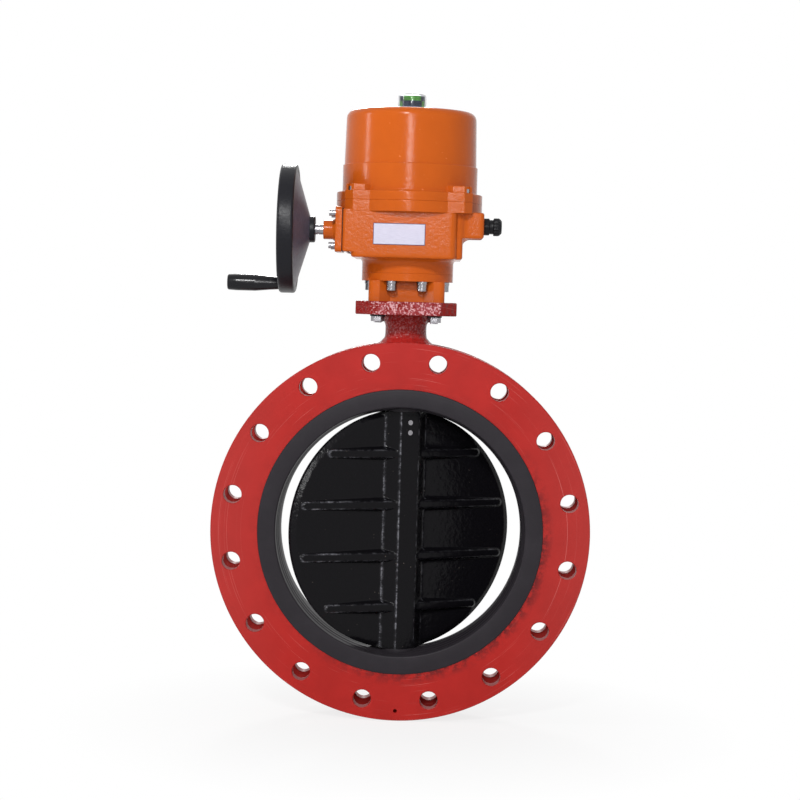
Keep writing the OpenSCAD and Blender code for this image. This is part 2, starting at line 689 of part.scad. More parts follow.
module side_cover_gasket() color("dimgray") at_stem() along_x(-housing_left - 1, worm_y, worm_z)
    linear_extrude(1) difference() {
        round_rect([1.5 - side_w / 2, 1.5 - side_h / 2], [side_w / 2 - 1.5, side_h / 2 - 1.5], 5.5);
        circle(r = 26);
        for (dy = [-side_screw_y, side_screw_y], dz = [-side_screw_z, side_screw_z])
            translate([dy, dz]) circle(d = side_screw_d + 0.6);
    }

module side_cover() color("chocolate") at_stem() difference() {
    union() {
        along_x(side_face_x, worm_y, worm_z) linear_extrude(side_t - 1)
            round_rect([-side_w / 2, -side_h / 2], [side_w / 2, side_h / 2], 7);
        along_x(-housing_left - 1 - eps, worm_y, worm_z) cylinder(r = 26 - fit, h = housing_wall + 1);
        along_x(side_face_x - 6, worm_y, worm_z) cylinder(r1 = side_boss_d / 2, r2 = side_boss_d / 2 + 4, h = 6 + eps);
        along_x(boss_end_x, worm_y, worm_z) cylinder(d = side_boss_d, h = side_boss_l + eps);
    }
    along_x(boss_end_x - 1, worm_y, worm_z) cylinder(r = worm_shaft_r + 3 + fit, h = side_boss_l + side_t + housing_wall + 3);
    for (dy = [-side_screw_y, side_screw_y], dz = [-side_screw_z, side_screw_z])
        along_x(side_face_x - 1, worm_y + dy, worm_z + dz) cylinder(d = side_screw_d + 0.6, h = side_t + 2);
}

module side_cover_screws() color("silver") at_stem()
    for (dy = [-side_screw_y, side_screw_y], dz = [-side_screw_z, side_screw_z])
        along_x(side_face_x - side_screw_d - 4, worm_y + dy, worm_z + dz)
            cap_screw(side_screw_d, side_t + housing_wall - 0.5, side_screw_d + 4);

module shaft_seal() color("dimgray") at_stem()
    along_x(boss_end_x + 0.5, worm_y, worm_z) tube(worm_shaft_r + 3, worm_shaft_r + fit, 6);

module worm_bushes() color("darkgoldenrod") at_stem() {
    along_x(boss_end_x + 7, worm_y, worm_z)
        tube(worm_shaft_r + 3, worm_shaft_r + fit, side_boss_l + side_t + housing_wall - 8);
    along_x(right_bearing_x, worm_y, worm_z) tube(worm_shaft_r + 3, worm_shaft_r + fit, right_bearing_t);
}

module worm_shaft() color("silver") at_stem() difference() {
    union() {
        along_x(-hub_left, worm_y, worm_z) cylinder(r = worm_shaft_r, h = hub_left + right_bearing_x + right_bearing_t);
        along_x(-hub_left - 14, worm_y, worm_z) cylinder(r = worm_shaft_r - 2, h = 15);
    }
    along_x(-hub_right + 4, worm_y, worm_z) tube(worm_shaft_r + 1, worm_shaft_r - 0.8, 2);
}

// Helical thread along X. Each ring of four points is the thread's section at one angle.
module worm_thread() {
    steps = 24;
    slope = tan(14.5);
    thick = 2.2;
    r_tip = worm_pitch_r + wheel_module;
    r_foot = worm_root_r - 0.3;
    half_tip = thick / 2 - (r_tip - worm_pitch_r) * slope;
    half_foot = thick / 2 + (worm_pitch_r - r_foot) * slope;
    count = worm_turns * steps;
    function at(i, r, dx) = [worm_pitch * (i - count / 2) / steps + dx,
                             r * cos(i * 360 / steps), r * sin(i * 360 / steps)];
    points = [for (i = [0 : count]) each [at(i, r_foot, -half_foot), at(i, r_tip, -half_tip),
                                          at(i, r_tip, half_tip), at(i, r_foot, half_foot)]];
    sides = [for (i = [0 : count - 1], k = [0 : 3]) let (a = 4 * i + k, b = 4 * i + (k + 1) % 4)
                each [[a, b, b + 4], [a, b + 4, a + 4]]];
    last = 4 * count;
    polyhedron(points, concat(sides, [[0, 2, 1], [0, 3, 2], [last, last + 1, last + 2], [last, last + 2, last + 3]]));
}

module worm() color("gray") at_stem() translate([0, worm_y, worm_z]) difference() {
    union() {
        along_x(-worm_l / 2) cylinder(r = worm_root_r, h = worm_l);
        worm_thread();
    }
    along_x(-worm_l / 2 - 1) cylinder(r = worm_shaft_r + fit, h = worm_l + 2);
}

module worm_wheel() color("darkgoldenrod") at_stem() translate([0, 0, worm_z - wheel_t / 2]) {
    linear_extrude(wheel_t) difference() {
        gear_outline(wheel_teeth, wheel_module, 2.2, wheel_module, 1.35 * wheel_module, 14.5,
                     270 + 180 / wheel_teeth);
        circle(r = wheel_seat_r + fit);
        rotate(disc_angle) translate([0, -4 - fit]) square([wheel_seat_r + 3 + fit, 8 + 2 * fit]);
    }
}

module output_shaft() color("gray") at_stem() rotate([0, 0, disc_angle]) difference() {
    union() {
        translate([0, 0, spool_top_z + 1]) cylinder(r = output_r, h = cavity_low_z - spool_top_z + 2);
        translate([0, 0, cavity_low_z + run]) cylinder(r = output_bush_r, h = worm_z - wheel_t / 2 - cavity_low_z - run);
        translate([0, 0, worm_z - wheel_t / 2 - eps]) cylinder(r = wheel_seat_r, h = wheel_t + 2);
        block([0, -4, worm_z - wheel_t / 2 - eps], [wheel_seat_r + 3, 4, worm_z + wheel_t / 2]);
        translate([0, 0, worm_z + wheel_t / 2]) cylinder(r = journal_r, h = gear_plate_top + 4 - worm_z - wheel_t / 2);
    }
    translate([-drive_square / 2 - fit, -drive_square / 2 - fit, spool_top_z])
        cube([drive_square + 2 * fit, drive_square + 2 * fit, 32]);
    translate([0, 0, gear_plate_top - 16]) cylinder(r = indicator_r + fit, h = 30);
}

module output_bushes() color("darkgoldenrod") at_stem() {
    tube(output_bush_r, output_r + fit, cavity_low_z - spool_top_z - 0.5, spool_top_z + 0.5);
    tube(journal_r + 4, journal_r + fit, gear_plate_t, gear_plate_z);
}

// ---------- gear train ----------

module worm_shaft_gear() color("gray") at_stem()
    spur_gear(spur_x, worm_z, spur_teeth, worm_shaft_r + fit, 90);

module idler_gear() color("gray") at_stem() {
    spur_gear(spur_x, idler_z, idler_small_teeth, idler_pin_r + fit, 270 + 180 / idler_small_teeth);
    along_x(spur_x + spur_t - eps, worm_y, idler_z) tube(idler_pin_r + 5, idler_pin_r + fit, large_x - spur_x - spur_t + 2 * eps);
    spur_gear(large_x, idler_z, idler_large_teeth, idler_pin_r + fit, 90 + 180 / idler_large_teeth);
}

module idler_pin() color("silver") at_stem()
    along_x(spur_x - 6, worm_y, idler_z) cylinder(r = idler_pin_r, h = motor_left + 1 - spur_x);

module gear_plate() color("silver") at_stem() translate([0, 0, gear_plate_z]) difference() {
    cylinder(r = gear_plate_r, h = gear_plate_t);
    translate([0, 0, -1]) {
        cylinder(r = journal_r + 4 + fit, h = gear_plate_t + 2);
        block([spur_x - 2, worm_y - 28, 0], [large_x + spur_t + 2, worm_y + 28, gear_plate_t + 2]);
        block([40, cable_y - 14, 0], [62, cable_y + 4, gear_plate_t + 2]);
        for (a = [45 : 90 : 315]) rotate([0, 0, a]) translate([gear_plate_r - 4, 0, 0])
            cylinder(d = gear_plate_screw_d + 0.4, h = gear_plate_t + 2);
    }
}

module gear_plate_screws() color("silver") at_stem()
    for (a = [45 : 90 : 315]) rotate([0, 0, a]) translate([gear_plate_r - 4, 0, gear_plate_top + gear_plate_screw_d])
        rotate([180, 0, 0]) cap_screw(gear_plate_screw_d, gear_plate_t + 7);

module gear_frame() color("silver") at_stem() difference() {
    union() {
        block([spur_x - 7, worm_y - 12, gear_plate_top], [spur_x - 3, worm_y + 26, idler_z + 10]);
        block([spur_x - 12, worm_y + 6, gear_plate_top], [spur_x - 3, worm_y + 26, gear_plate_top + 4]);
    }
    along_x(spur_x - 20, worm_y, idler_z) cylinder(r = idler_pin_r + fit, h = 30);
}

module motor_bracket() color("silver") at_stem() difference() {
    block([motor_left + 14, worm_y - 20, gear_plate_top], [motor_left + motor_l - 14, worm_y + 20, motor_z - 10]);
    along_x(motor_left, worm_y, motor_z) cylinder(r = motor_r + fit, h = motor_l);
}

module motor_case() color("darkslategray") at_stem() difference() {
    along_x(motor_left + 5, worm_y, motor_z) cylinder(r = motor_r, h = motor_l - 5);
    along_x(motor_left + 4, worm_y, motor_z) cylinder(r = motor_r - 3, h = motor_l - 7);
    along_x(motor_left, worm_y, motor_z) cylinder(r = motor_shaft_r + fit, h = motor_l + 1);
}

module motor_end_cap() color("silver") at_stem() difference() {
    union() {
        along_x(motor_left, worm_y, motor_z) cylinder(r = motor_r, h = 5);
        block([motor_left, worm_y - 12, gear_plate_top], [motor_left + 5, worm_y + 12, motor_z]);
    }
    along_x(motor_left - 1, worm_y, motor_z) cylinder(r = motor_shaft_r + fit, h = 8);
    along_x(motor_left - 1, worm_y, idler_z) cylinder(r = idler_pin_r + fit, h = 8);
}

module motor_stator() color("peru") at_stem()
    along_x(motor_left + 12, worm_y, motor_z) tube(motor_r - 3 - fit, motor_r - 9, motor_l - 24);

module motor_rotor() color("gray") at_stem() {
    along_x(large_x - 2, worm_y, motor_z) cylinder(r = motor_shaft_r, h = motor_left + motor_l - large_x + 1);
    along_x(motor_left + 14, worm_y, motor_z) cylinder(r = motor_r - 9 - run, h = motor_l - 28);
}

module motor_pinion() color("silver") at_stem()
    spur_gear(large_x, motor_z, pinion_teeth, motor_shaft_r + fit, 270);

// ---------- switchgear ----------

module indicator_shaft() color("silver") at_stem()
    translate([0, 0, gear_plate_top - 15]) cylinder(r = indicator_r, h = drum_z + drum_h - 5 - gear_plate_top + 15);

module limit_cams() color("ivory") at_stem() for (k = [0, 1]) translate([0, 0, cam_z + k * (cam_t + 4)])
    rotate([0, 0, 90 * k]) difference() {
        union() {
            cylinder(d = cam_d - 6, h = cam_t);
            intersection() {
                cylinder(d = cam_d, h = cam_t);
                translate([0, -cam_d, 0]) cube([cam_d, cam_d, cam_t]);
            }
        }
        translate([0, 0, -1]) cylinder(r = indicator_r + fit, h = cam_t + 2);
    }

module limit_switches() color("black") at_stem() {
    block([-12, cam_d / 2 + 8, gear_plate_top], [-8, cam_d / 2 + 30, cam_z + 2 * cam_t + 10]);
    for (k = [0, 1]) translate([0, 0, cam_z + k * (cam_t + 4)]) {
        block([-8, cam_d / 2 + 8, -1], [24, cam_d / 2 + 26, cam_t + 1]);
        block([-1, cam_d / 2 + run + 2.5, 1], [20, cam_d / 2 + run + 3.3, cam_t - 1]);
        block([19, cam_d / 2 + run + 2.5, 1], [20, cam_d / 2 + 9, cam_t - 1]);
        translate([0, cam_d / 2 + run + 1.5, 1]) cylinder(r = 1.5, h = cam_t - 2);
    }
}

module terminal_block() color("ivory") at_stem() difference() {
    union() {
        block([-40, 62, gear_plate_top], [40, 78, gear_plate_top + 14]);
        for (i = [0 : 8]) translate([-40 + 10 * i - (i == 0 ? 0 : 0.75), 62, gear_plate_top]) cube([1.5, 16, 22]);
    }
    for (i = [0 : 7]) translate([-34.5 + 10 * i, 70, gear_plate_top + 8]) cylinder(d = 5, h = 10);
}

module capacitor() color("gray") at_stem() translate([62, 30, gear_plate_top]) {
    cylinder(r = 17, h = 68);
    for (y = [-4, 4]) translate([-0.4, y - 2.5, 68 - eps]) cube([0.8, 5, 8]);
}

// ---------- cover and indicator ----------

// Section of the cover's shell, grown inwards by w.
module cover_profile(w) {
    top = cover_top_rise - w;
    round_r = max(cover_round - w, 2);
    square([cover_top_r - w - round_r, top]);
    translate([cover_top_r - w - round_r, top - round_r]) circle(r = round_r);
    polygon([[0, 0], [cover_low_r - w, 0], [cover_low_r - w, cover_step_rise],
             [cover_high_r - w, cover_step_rise], [cover_top_r - w, top - round_r], [0, top - round_r]]);
}

module cover() color("chocolate") at_stem() translate([0, 0, joint_z]) difference() {
    union() {
        linear_extrude(cover_flange_t) joint_outline();
        rotate_extrude($fn = 180) intersection() {
            cover_profile(0);
            square([joint_r, cover_top_rise]);
        }
        linear_extrude(lug_rise) intersection() {
            cut_square(housing_half_depth - 1, joint_corner - 1);
            four_corners(housing_half_depth - 1 - lug_w / 2) square(lug_w, center = true);
        }
        translate([0, 0, cover_flange_t - eps]) cylinder(r1 = cover_low_r + 3, r2 = cover_low_r, h = 3);
    }
    rotate_extrude($fn = 180) difference() {
        translate([0, -1]) union() {
            square([cover_low_r - cover_wall, 1 + eps]);
            translate([0, 1]) cover_profile(cover_wall);
        }
        translate([-joint_r, -2]) square([joint_r, cover_top_rise + 4]);
    }
    translate([0, 0, cover_top_rise - cover_wall - 1]) cylinder(r = indicator_r + run, h = cover_wall + 2);
    four_corners(corner_screw) {
        translate([0, 0, -1]) cylinder(d = corner_screw_d + 0.6, h = lug_rise + 2);
        translate([0, 0, lug_floor]) cylinder(d = 1.6 * corner_screw_d + 1.4, h = lug_rise);
    }
    for (a = [45 : 90 : 315]) rotate([0, 0, a])
        translate([norm([corner_screw, corner_screw]), -3.5, lug_floor]) cube([12, 7, lug_rise]);
}

module cover_seal() color("dimgray") at_stem() tube(seal_r, seal_r - cover_seal_w, cover_seal_t, joint_z - cover_seal_t);

module cover_screws() color("silver") at_stem() translate([0, 0, joint_z + lug_floor + corner_screw_d])
    four_corners(corner_screw) rotate([180, 0, 0]) cap_screw(corner_screw_d, lug_floor + 2 * corner_screw_d);

module indicator_dome() color("lightgray", 0.4) at_stem() translate([0, 0, cover_top_z]) difference() {
    rotate_extrude() dome_profile(dome_d / 2, dome_h);
    translate([0, 0, -eps]) rotate_extrude() dome_profile(dome_d / 2 - dome_wall, dome_h - dome_wall);
}

// Half section of a cylinder with a rounded top edge.
module dome_profile(r, h) {
    edge = 3;
    square([r, h - edge]);
    square([r - edge, h]);
    translate([r - edge, h - edge]) intersection() {
        circle(r = edge);
        square(edge);
    }
}

module indicator_drum() color("midnightblue") at_stem() translate([0, 0, drum_z]) difference() {
    cylinder(r = drum_r, h = drum_h);
    translate([0, 0, -1]) cylinder(r = indicator_r + fit, h = drum_h - 3.5);
    flag_cuts(0);
}

// Shallow pockets in the drum, or the flags that fill them: two above and two below, a quarter turn apart.
module flag_cuts(gap) {
    low_h = flag_split * drum_h;
    for (k = [0 : 3]) rotate([0, 0, 90 * k + 90])
        translate([0, 0, k % 2 == 0 ? low_h + gap : 0]) intersection() {
            tube(drum_r + (gap > 0 ? 0 : 1), drum_r - 1 + gap,
                 k % 2 == 0 ? drum_h - low_h - gap + (gap == 0 ? 1 : 0) : low_h - gap);
            linear_extrude(dome_h) polygon([[0, 0], [2 * drum_r, -2 * drum_r + 4], [2 * drum_r, 2 * drum_r - 4]]);
        }
}

module indicator_flags() color("limegreen") at_stem() translate([0, 0, drum_z]) flag_cuts(fit);

// ---------- handwheel ----------

// Section of the dished handwheel: radius against distance along the worm shaft from the stem axis.
module handwheel_profile() {
    wr = wheel_d / 2;
    inner = wr - rim_depth;
    web = 6;
    rim_right = rim_left - rim_w;
    hub_r = hub_d / 2;
    polygon([
        [worm_shaft_r + fit, -hub_left], [worm_shaft_r + fit, -hub_right], [hub_r - 1.5, -hub_right],
        [hub_r, -hub_right - 1.5], [hub_r, -hub_right - 8], [inner + 2, -rim_right], [wr - 4, -rim_right],
        [wr, -rim_right - 4], [wr, -rim_left + 4], [wr - 4, -rim_left], [inner + 2, -rim_left],
        [inner, -rim_left + 2], [inner, -rim_right - web - 2], [hub_r + 2, -hub_right - 8 - web - 2],
        [hub_r, -hub_left + 2], [hub_r - 2, -hub_left]
    ]);
}

module handwheel() color("dimgray") at_stem() difference() {
    union() {
        along_x(0, worm_y, worm_z) rotate_extrude($fn = 180) handwheel_profile();
        along_x(-rim_left, worm_y, spindle_z) cylinder(r = 12, h = rim_w - 3);
    }
    along_x(-rim_left - 1, worm_y, spindle_z) cylinder(r = spindle_d / 2 + fit, h = rim_w - 6);
}

module handwheel_nut() color("silver") at_stem() along_x(-hub_left - 10, worm_y, worm_z) difference() {
    union() {
        cylinder(d = 2.4 * worm_shaft_r, h = 8, $fn = 6);
        translate([0, 0, 8 - eps]) cylinder(r = worm_shaft_r + 4, h = 2);
    }
    translate([0, 0, -1]) cylinder(r = worm_shaft_r - 2 + fit, h = 12);
}

module handle_spindle() color("silver") at_stem() {
    along_x(handle_right - handle_l + 8, worm_y, spindle_z) cylinder(d = spindle_d, h = handle_l - 8 + rim_w - 8);
    along_x(handle_right - handle_l + 4, worm_y, spindle_z) cylinder(d = 1.6 * spindle_d, h = 4);
}

module handle_grip() color("black") at_stem() along_x(handle_right - handle_l, worm_y, spindle_z) difference() {
    rotate_extrude() {
        polygon([[0, 0], [handle_d / 2 - 3, 0], [handle_d / 2, 3], [handle_d / 2, handle_l * 0.5],
                 [handle_d / 2 - 2.4, handle_l - 4], [handle_d / 2 - 4, handle_l], [0, handle_l]]);
    }
    translate([0, 0, -1]) cylinder(d = spindle_d + 2 * fit, h = handle_l + 2);
    translate([0, 0, -1]) cylinder(d = 1.6 * spindle_d + 2 * run, h = 9 + run);
}

// ---------- cable entry and plate ----------

module cable_gland() color("black") at_stem() along_x(cable_box_right, cable_y, cable_z) difference() {
    rotate_extrude() polygon([
        [0, -housing_wall], [gland_d / 2 - 4, -housing_wall], [gland_d / 2 - 4, 0], [gland_d / 2, 0],
        [gland_d / 2, 8], [gland_d / 2 - 1, 9], [gland_d / 2 - 2.5, 9.5], [gland_d / 2 - 2.5, 13],
        [gland_d / 2 - 0.5, 14], [gland_d / 2, 15], [gland_d / 2 - 0.3, 25], [gland_d / 2 - 3, 28], [0, 28]]);
    translate([0, 0, -housing_wall - 1]) cylinder(d = cable_hole_d, h = housing_wall + 30);
}

module nameplate() color("lavender") at_stem()
    block([-13.2 - nameplate_w / 2, -housing_half_depth - 1, joint_z - 52 - nameplate_h / 2],
          [-13.2 + nameplate_w / 2, -housing_half_depth, joint_z - 52 + nameplate_h / 2]);

valve_body();
seat_liner();
disc();
disc_pins();
upper_stem();
lower_stem();
stem_key();
upper_bush();
middle_bush();
lower_bush();
stem_seal();
stem_retainer();
bottom_plug();
mounting_spool();
plate_studs();
plate_nuts();
plate_washers();
spool_screws();
spool_screw_washers();
drive_coupling();
gear_housing();
side_cover();
side_cover_gasket();
side_cover_screws();
shaft_seal();
worm_shaft();
worm();
worm_bushes();
worm_wheel();
output_shaft();
output_bushes();
worm_shaft_gear();
idler_gear();
idler_pin();
gear_plate();
gear_plate_screws();
gear_frame();
motor_bracket();
motor_case();
motor_end_cap();
motor_stator();
motor_rotor();
motor_pinion();
indicator_shaft();
limit_cams();
limit_switches();
terminal_block();
capacitor();
cover();
cover_seal();
cover_screws();
indicator_dome();
indicator_drum();
indicator_flags();
handwheel();
handwheel_nut();
handle_spindle();
handle_grip();
cable_gland();
nameplate();
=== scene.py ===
"""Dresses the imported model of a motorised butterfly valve.

Shapes are worked out in millimetres with numpy and kept in metres. +Y runs along the pipe, +Z up the stem,
and the origin is the centre of the front flange's face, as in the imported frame.
"""

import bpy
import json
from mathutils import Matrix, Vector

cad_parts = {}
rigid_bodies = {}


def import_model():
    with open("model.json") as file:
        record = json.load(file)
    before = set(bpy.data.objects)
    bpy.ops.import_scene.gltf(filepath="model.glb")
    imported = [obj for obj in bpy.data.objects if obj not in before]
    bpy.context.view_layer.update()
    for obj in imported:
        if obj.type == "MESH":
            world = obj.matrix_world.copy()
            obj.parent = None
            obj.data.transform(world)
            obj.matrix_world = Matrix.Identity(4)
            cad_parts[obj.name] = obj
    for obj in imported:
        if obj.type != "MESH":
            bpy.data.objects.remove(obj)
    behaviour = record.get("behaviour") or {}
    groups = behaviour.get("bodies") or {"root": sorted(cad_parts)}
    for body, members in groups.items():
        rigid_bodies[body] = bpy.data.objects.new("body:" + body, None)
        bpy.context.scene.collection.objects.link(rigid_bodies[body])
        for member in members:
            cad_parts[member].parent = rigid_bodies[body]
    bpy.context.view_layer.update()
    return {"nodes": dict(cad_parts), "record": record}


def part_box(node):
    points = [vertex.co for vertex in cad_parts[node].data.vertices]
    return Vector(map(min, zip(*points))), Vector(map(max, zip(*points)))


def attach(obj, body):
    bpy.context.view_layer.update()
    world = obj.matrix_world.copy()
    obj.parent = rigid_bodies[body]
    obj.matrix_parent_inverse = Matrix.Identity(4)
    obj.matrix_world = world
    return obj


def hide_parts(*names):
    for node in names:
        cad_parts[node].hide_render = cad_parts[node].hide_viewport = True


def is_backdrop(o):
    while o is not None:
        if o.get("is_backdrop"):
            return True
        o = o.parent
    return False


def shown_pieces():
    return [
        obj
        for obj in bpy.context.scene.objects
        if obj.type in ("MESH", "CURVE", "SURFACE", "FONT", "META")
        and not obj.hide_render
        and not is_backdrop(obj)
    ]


bl_info = {
    "name": "Motorised butterfly valve",
    "version": (1, 0, 0),
    "blender": (4, 5, 0),
    "location": "3D View > Sidebar > Valve",
    "description": "Builds the castings, disc, drive cover and handwheel round the packed frame",
    "category": "Object",
}

import json
import math
from functools import partial
from types import SimpleNamespace

import bmesh
import bpy
import numpy as np
from mathutils import Matrix, Vector
from mathutils.bvhtree import BVHTree

for leftover in list(bpy.data.objects):
    bpy.data.objects.remove(leftover)
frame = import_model()

MM = 0.001
TURN = 2 * math.pi


def span(node):
    """Lowest and highest corner of a CAD node, in millimetres."""
    return [np.array(corner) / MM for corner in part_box(node)]


BODY, LINER, HOUSING, COVER = (span(n) for n in ("valve_body", "seat_liner", "gear_housing", "cover"))
FACE_TO_FACE = LINER[0][1] + LINER[1][1]   # the liner stands out equally from both faces
STEM = (0.0, FACE_TO_FACE / 2, 0.0)     # every stem-centred shape is turned about this upright line
JOINT_Z = COVER[0][2]                   # joint face between housing and cover
COVER_TOP = COVER[1][2]
WORM = (0, 1, 471)                      # a point of the worm shaft's axis, which runs along x
HANDLE = (0, 1, 385.5)                  # the same of the turning handle's spindle
CABLE = (0, 6, 482)                     # the same of the cable entry
PLATE_T = 21                            # thickness of the drive plate

# ---------- camera and image points ----------

CAMERA_AT = (0.03994, -3.19, 0.36589)   # metres
CAMERA_YAW, CAMERA_PITCH, CAMERA_ROLL = -0.01426, -0.04936, 0.0278
CAMERA_LENS, SENSOR = 91.84, 36.0
FRAME_SIDE = 800

# Points of the photograph's 800 x 800 frame: an edge is one number, a feature is x and y.
EDGES = {"left": 211.0, "right": 590.0, "top": 94.8, "bottom": 721.0}
FEATURES = {
    "hole_at_11_o_clock": ((373.0, 362.0), (-52.7, 0.0, 264.7)),
    "hole_at_3_o_clock": ((568.0, 502.0), (264.7, 0.0, 52.7)),
    "hole_at_6_o_clock": ((428.0, 700.0), (52.7, 0.0, -264.7)),
    "hole_at_9_o_clock": ((232.0, 557.0), (-264.7, 0.0, -52.7)),
    "tapped_hole": ((394.0, 711.0), (0.0, 0.0, -282.8)),
    "upper_pin": ((412.5, 421.0), None),
    "lower_pin": ((411.6, 431.3), None),
    "nameplate": ((399.2, 234.2), None),
    "handwheel_left": ((277.4, 228.0), None),
    "grip_end": ((227.2, 282.6), None),
    "gland_end": ((502.5, 227.0), None),
    "dome_top": ((412.4, 94.8), None),
    "drive_plate_left": ((356.5, 309.0), None),
    "moulding_flash": ((441.3, 638.5), None),
}
FLASH = ((423.0, 644.5), (436.0, 642.0), (449.0, 637.5), (459.5, 632.5))   # torn strip on the liner's lip


def camera_axes():
    """Right, up and forward unit vectors: the aim from yaw and pitch, then the roll about it."""
    yaw, pitch, roll = CAMERA_YAW, CAMERA_PITCH, CAMERA_ROLL
    forward = Vector((math.sin(yaw) * math.cos(pitch), math.cos(yaw) * math.cos(pitch), math.sin(pitch)))
    level = forward.cross(Vector((0, 0, 1))).normalized()
    upright = level.cross(forward)
    right = math.cos(roll) * level + math.sin(roll) * upright
    return right, math.cos(roll) * upright - math.sin(roll) * level, forward


def in_photo(points):
    """Image x and y of points in metres: their offsets along the camera's right and up, over their depth."""
    right, up, forward = (np.array(a) for a in camera_axes())
    d = np.asarray(points, float) - np.array(CAMERA_AT)
    focal = FRAME_SIDE * CAMERA_LENS / SENSOR
    depth = d @ forward
    return np.stack([FRAME_SIDE / 2 + focal * (d @ right) / depth, FRAME_SIDE / 2 - focal * (d @ up) / depth], -1)


def vertices(piece):
    """Every vertex of an object, in metres."""
    co = np.empty(len(piece.data.vertices) * 3, np.float32)
    piece.data.vertices.foreach_get("co", co)
    return co.reshape(-1, 3)


def under_point(piece, x, y):
    """Where the ray through an image point meets a finished piece; a miss takes the vertex nearest the ray."""
    right, up, forward = camera_axes()
    ahead = forward * FRAME_SIDE * CAMERA_LENS / SENSOR
    ray = (right * (x - FRAME_SIDE / 2) + up * (FRAME_SIDE / 2 - y) + ahead).normalized()
    made = piece.evaluated_get(bpy.context.evaluated_depsgraph_get())
    tree = BVHTree.FromPolygons([v.co for v in made.data.vertices], [p.vertices for p in made.data.polygons])
    at = tree.ray_cast(Vector(CAMERA_AT), ray)[0]
    if at is None:
        off = np.linalg.norm(np.cross(vertices(made) - np.array(CAMERA_AT), np.array(ray)), axis=1)
        at = made.data.vertices[int(off.argmin())].co
    return at


# ---------- surfaces ----------

def rounded(corners, radii, steps=6):
    """A path carried through its corners, with an arc tangent to both runs at each one.

    corners is (corner, direction, 2) or (corner, 2), and radii has one number a corner, or one a direction too.
    An arc reaches r / tan(half the inside angle) from its corner, cut down to half of a short run.
    """
    p = np.asarray(corners, float)
    p = p[:, None, :] if p.ndim == 2 else p
    r = np.broadcast_to(np.asarray(radii, float).reshape(len(p), -1), p.shape[:2])[1:-1]
    here = p[1:-1]
    back, on = p[:-2] - here, p[2:] - here
    far_back, far_on = np.linalg.norm(back, axis=-1), np.linalg.norm(on, axis=-1)
    back, on = back / np.maximum(far_back, 1e-9)[..., None], on / np.maximum(far_on, 1e-9)[..., None]
    half = np.clip(np.arccos(np.clip((back * on).sum(-1), -1, 1)) / 2, 0.02, math.pi / 2 - 1e-4)
    cut = np.minimum(r / np.tan(half), 0.49 * np.minimum(far_back, far_on))
    middle = back + on
    middle = middle / np.maximum(np.linalg.norm(middle, axis=-1), 1e-9)[..., None]
    centre = here + middle * (cut / np.cos(half))[..., None]
    a, b = here + back * cut[..., None] - centre, here + on * cut[..., None] - centre
    sweep = (math.pi - 2 * half)[..., None]
    t = np.linspace(0, 1, steps)[:, None, None, None]
    arcs = centre + (np.sin((1 - t) * sweep) * a + np.sin(t * sweep) * b) / np.sin(sweep)
    arcs = arcs.transpose(1, 0, 2, 3).reshape(-1, p.shape[1], 2)
    return np.concatenate([p[:1], arcs, p[-1:]])


def outline(corners, radius, steps=8):
    """A closed flat outline with an arc at every corner."""
    p = np.asarray(corners, float)
    r = np.broadcast_to(np.asarray(radius, float), len(p))
    return rounded(np.concatenate([p[-1:], p, p[:1]]), np.concatenate([r[-1:], r, r[:1]]), steps)[1:-1, 0]


def oblong(left, right, front, back, radius):
    """A rectangle with round corners."""
    return outline([(left, front), (right, front), (right, back), (left, back)], radius)


def cut_square(half, cut, radius):
    """A square whose corners are cut off."""
    h, c = half, half - cut
    return outline([(-h, -c), (-c, -h), (c, -h), (h, -c), (h, c), (c, h), (-c, h), (-h, c)], radius, 5)


def reach(shape, angles):
    """Distance from the centre to a closed outline in each direction.

    The ray through an angle crosses the edge between the two outline points on either side of it: the distance is
    the cross product of that edge's start and run, over the cross product of the ray and the run.
    """
    turn = np.arctan2(shape[:, 1], shape[:, 0])
    order = np.argsort(turn)
    p, turn = shape[order], turn[order]
    at = (np.asarray(angles) + math.pi) % TURN - math.pi
    i = np.searchsorted(turn, at) % len(p)
    start, run = p[i - 1], p[i] - p[i - 1]
    return (start[:, 0] * run[:, 1] - start[:, 1] * run[:, 0]) / (np.cos(at) * run[:, 1] - np.sin(at) * run[:, 0])


def directions(count, *shapes):
    """Even directions round a circle, with those of the outlines' own points among them."""
    own = [np.arctan2(s[:, 1], s[:, 0]) % TURN for s in shapes]
    return np.unique(np.concatenate([np.arange(count) * TURN / count, *own]).round(4))


def stack(angles, *levels):
    """Corners of an upright profile in every direction: each level is a height and a radius, or a distance for each
    direction."""
    wide = [(np.broadcast_to(r, len(angles)), np.broadcast_to(z, len(angles))) for z, r in levels]
    return np.array([np.stack([r, z], -1) for r, z in wide])


def turned(profile, angles, centre=(0, 0, 0), axis="z"):
    """Points of a profile carried round an axis: radius times cosine, radius times sine, and height along the axis."""
    p = np.asarray(profile, float)
    p = np.broadcast_to(p if p.ndim == 3 else p[:, None, :], (len(p), len(angles), 2))
    c, s, h = p[..., 0] * np.cos(angles), p[..., 0] * np.sin(angles), p[..., 1]
    return np.stack({"z": (c, s, h), "y": (c, h, s), "x": (h, c, s)}[axis], -1) + np.asarray(centre, float)


def circle(count):
    """Even directions round a circle."""
    return np.arange(count) * TURN / count


def smooth_most(k, *values):
    """Smooth maximum: k times the logarithm of the summed exponentials of each value over k."""
    return k * np.logaddexp.reduce([v / k for v in values])


def ramp(x, soft):
    """Zero turning softly into x: soft times the logarithm of one plus the exponential of x over soft."""
    return soft * np.logaddexp(0, x / soft)


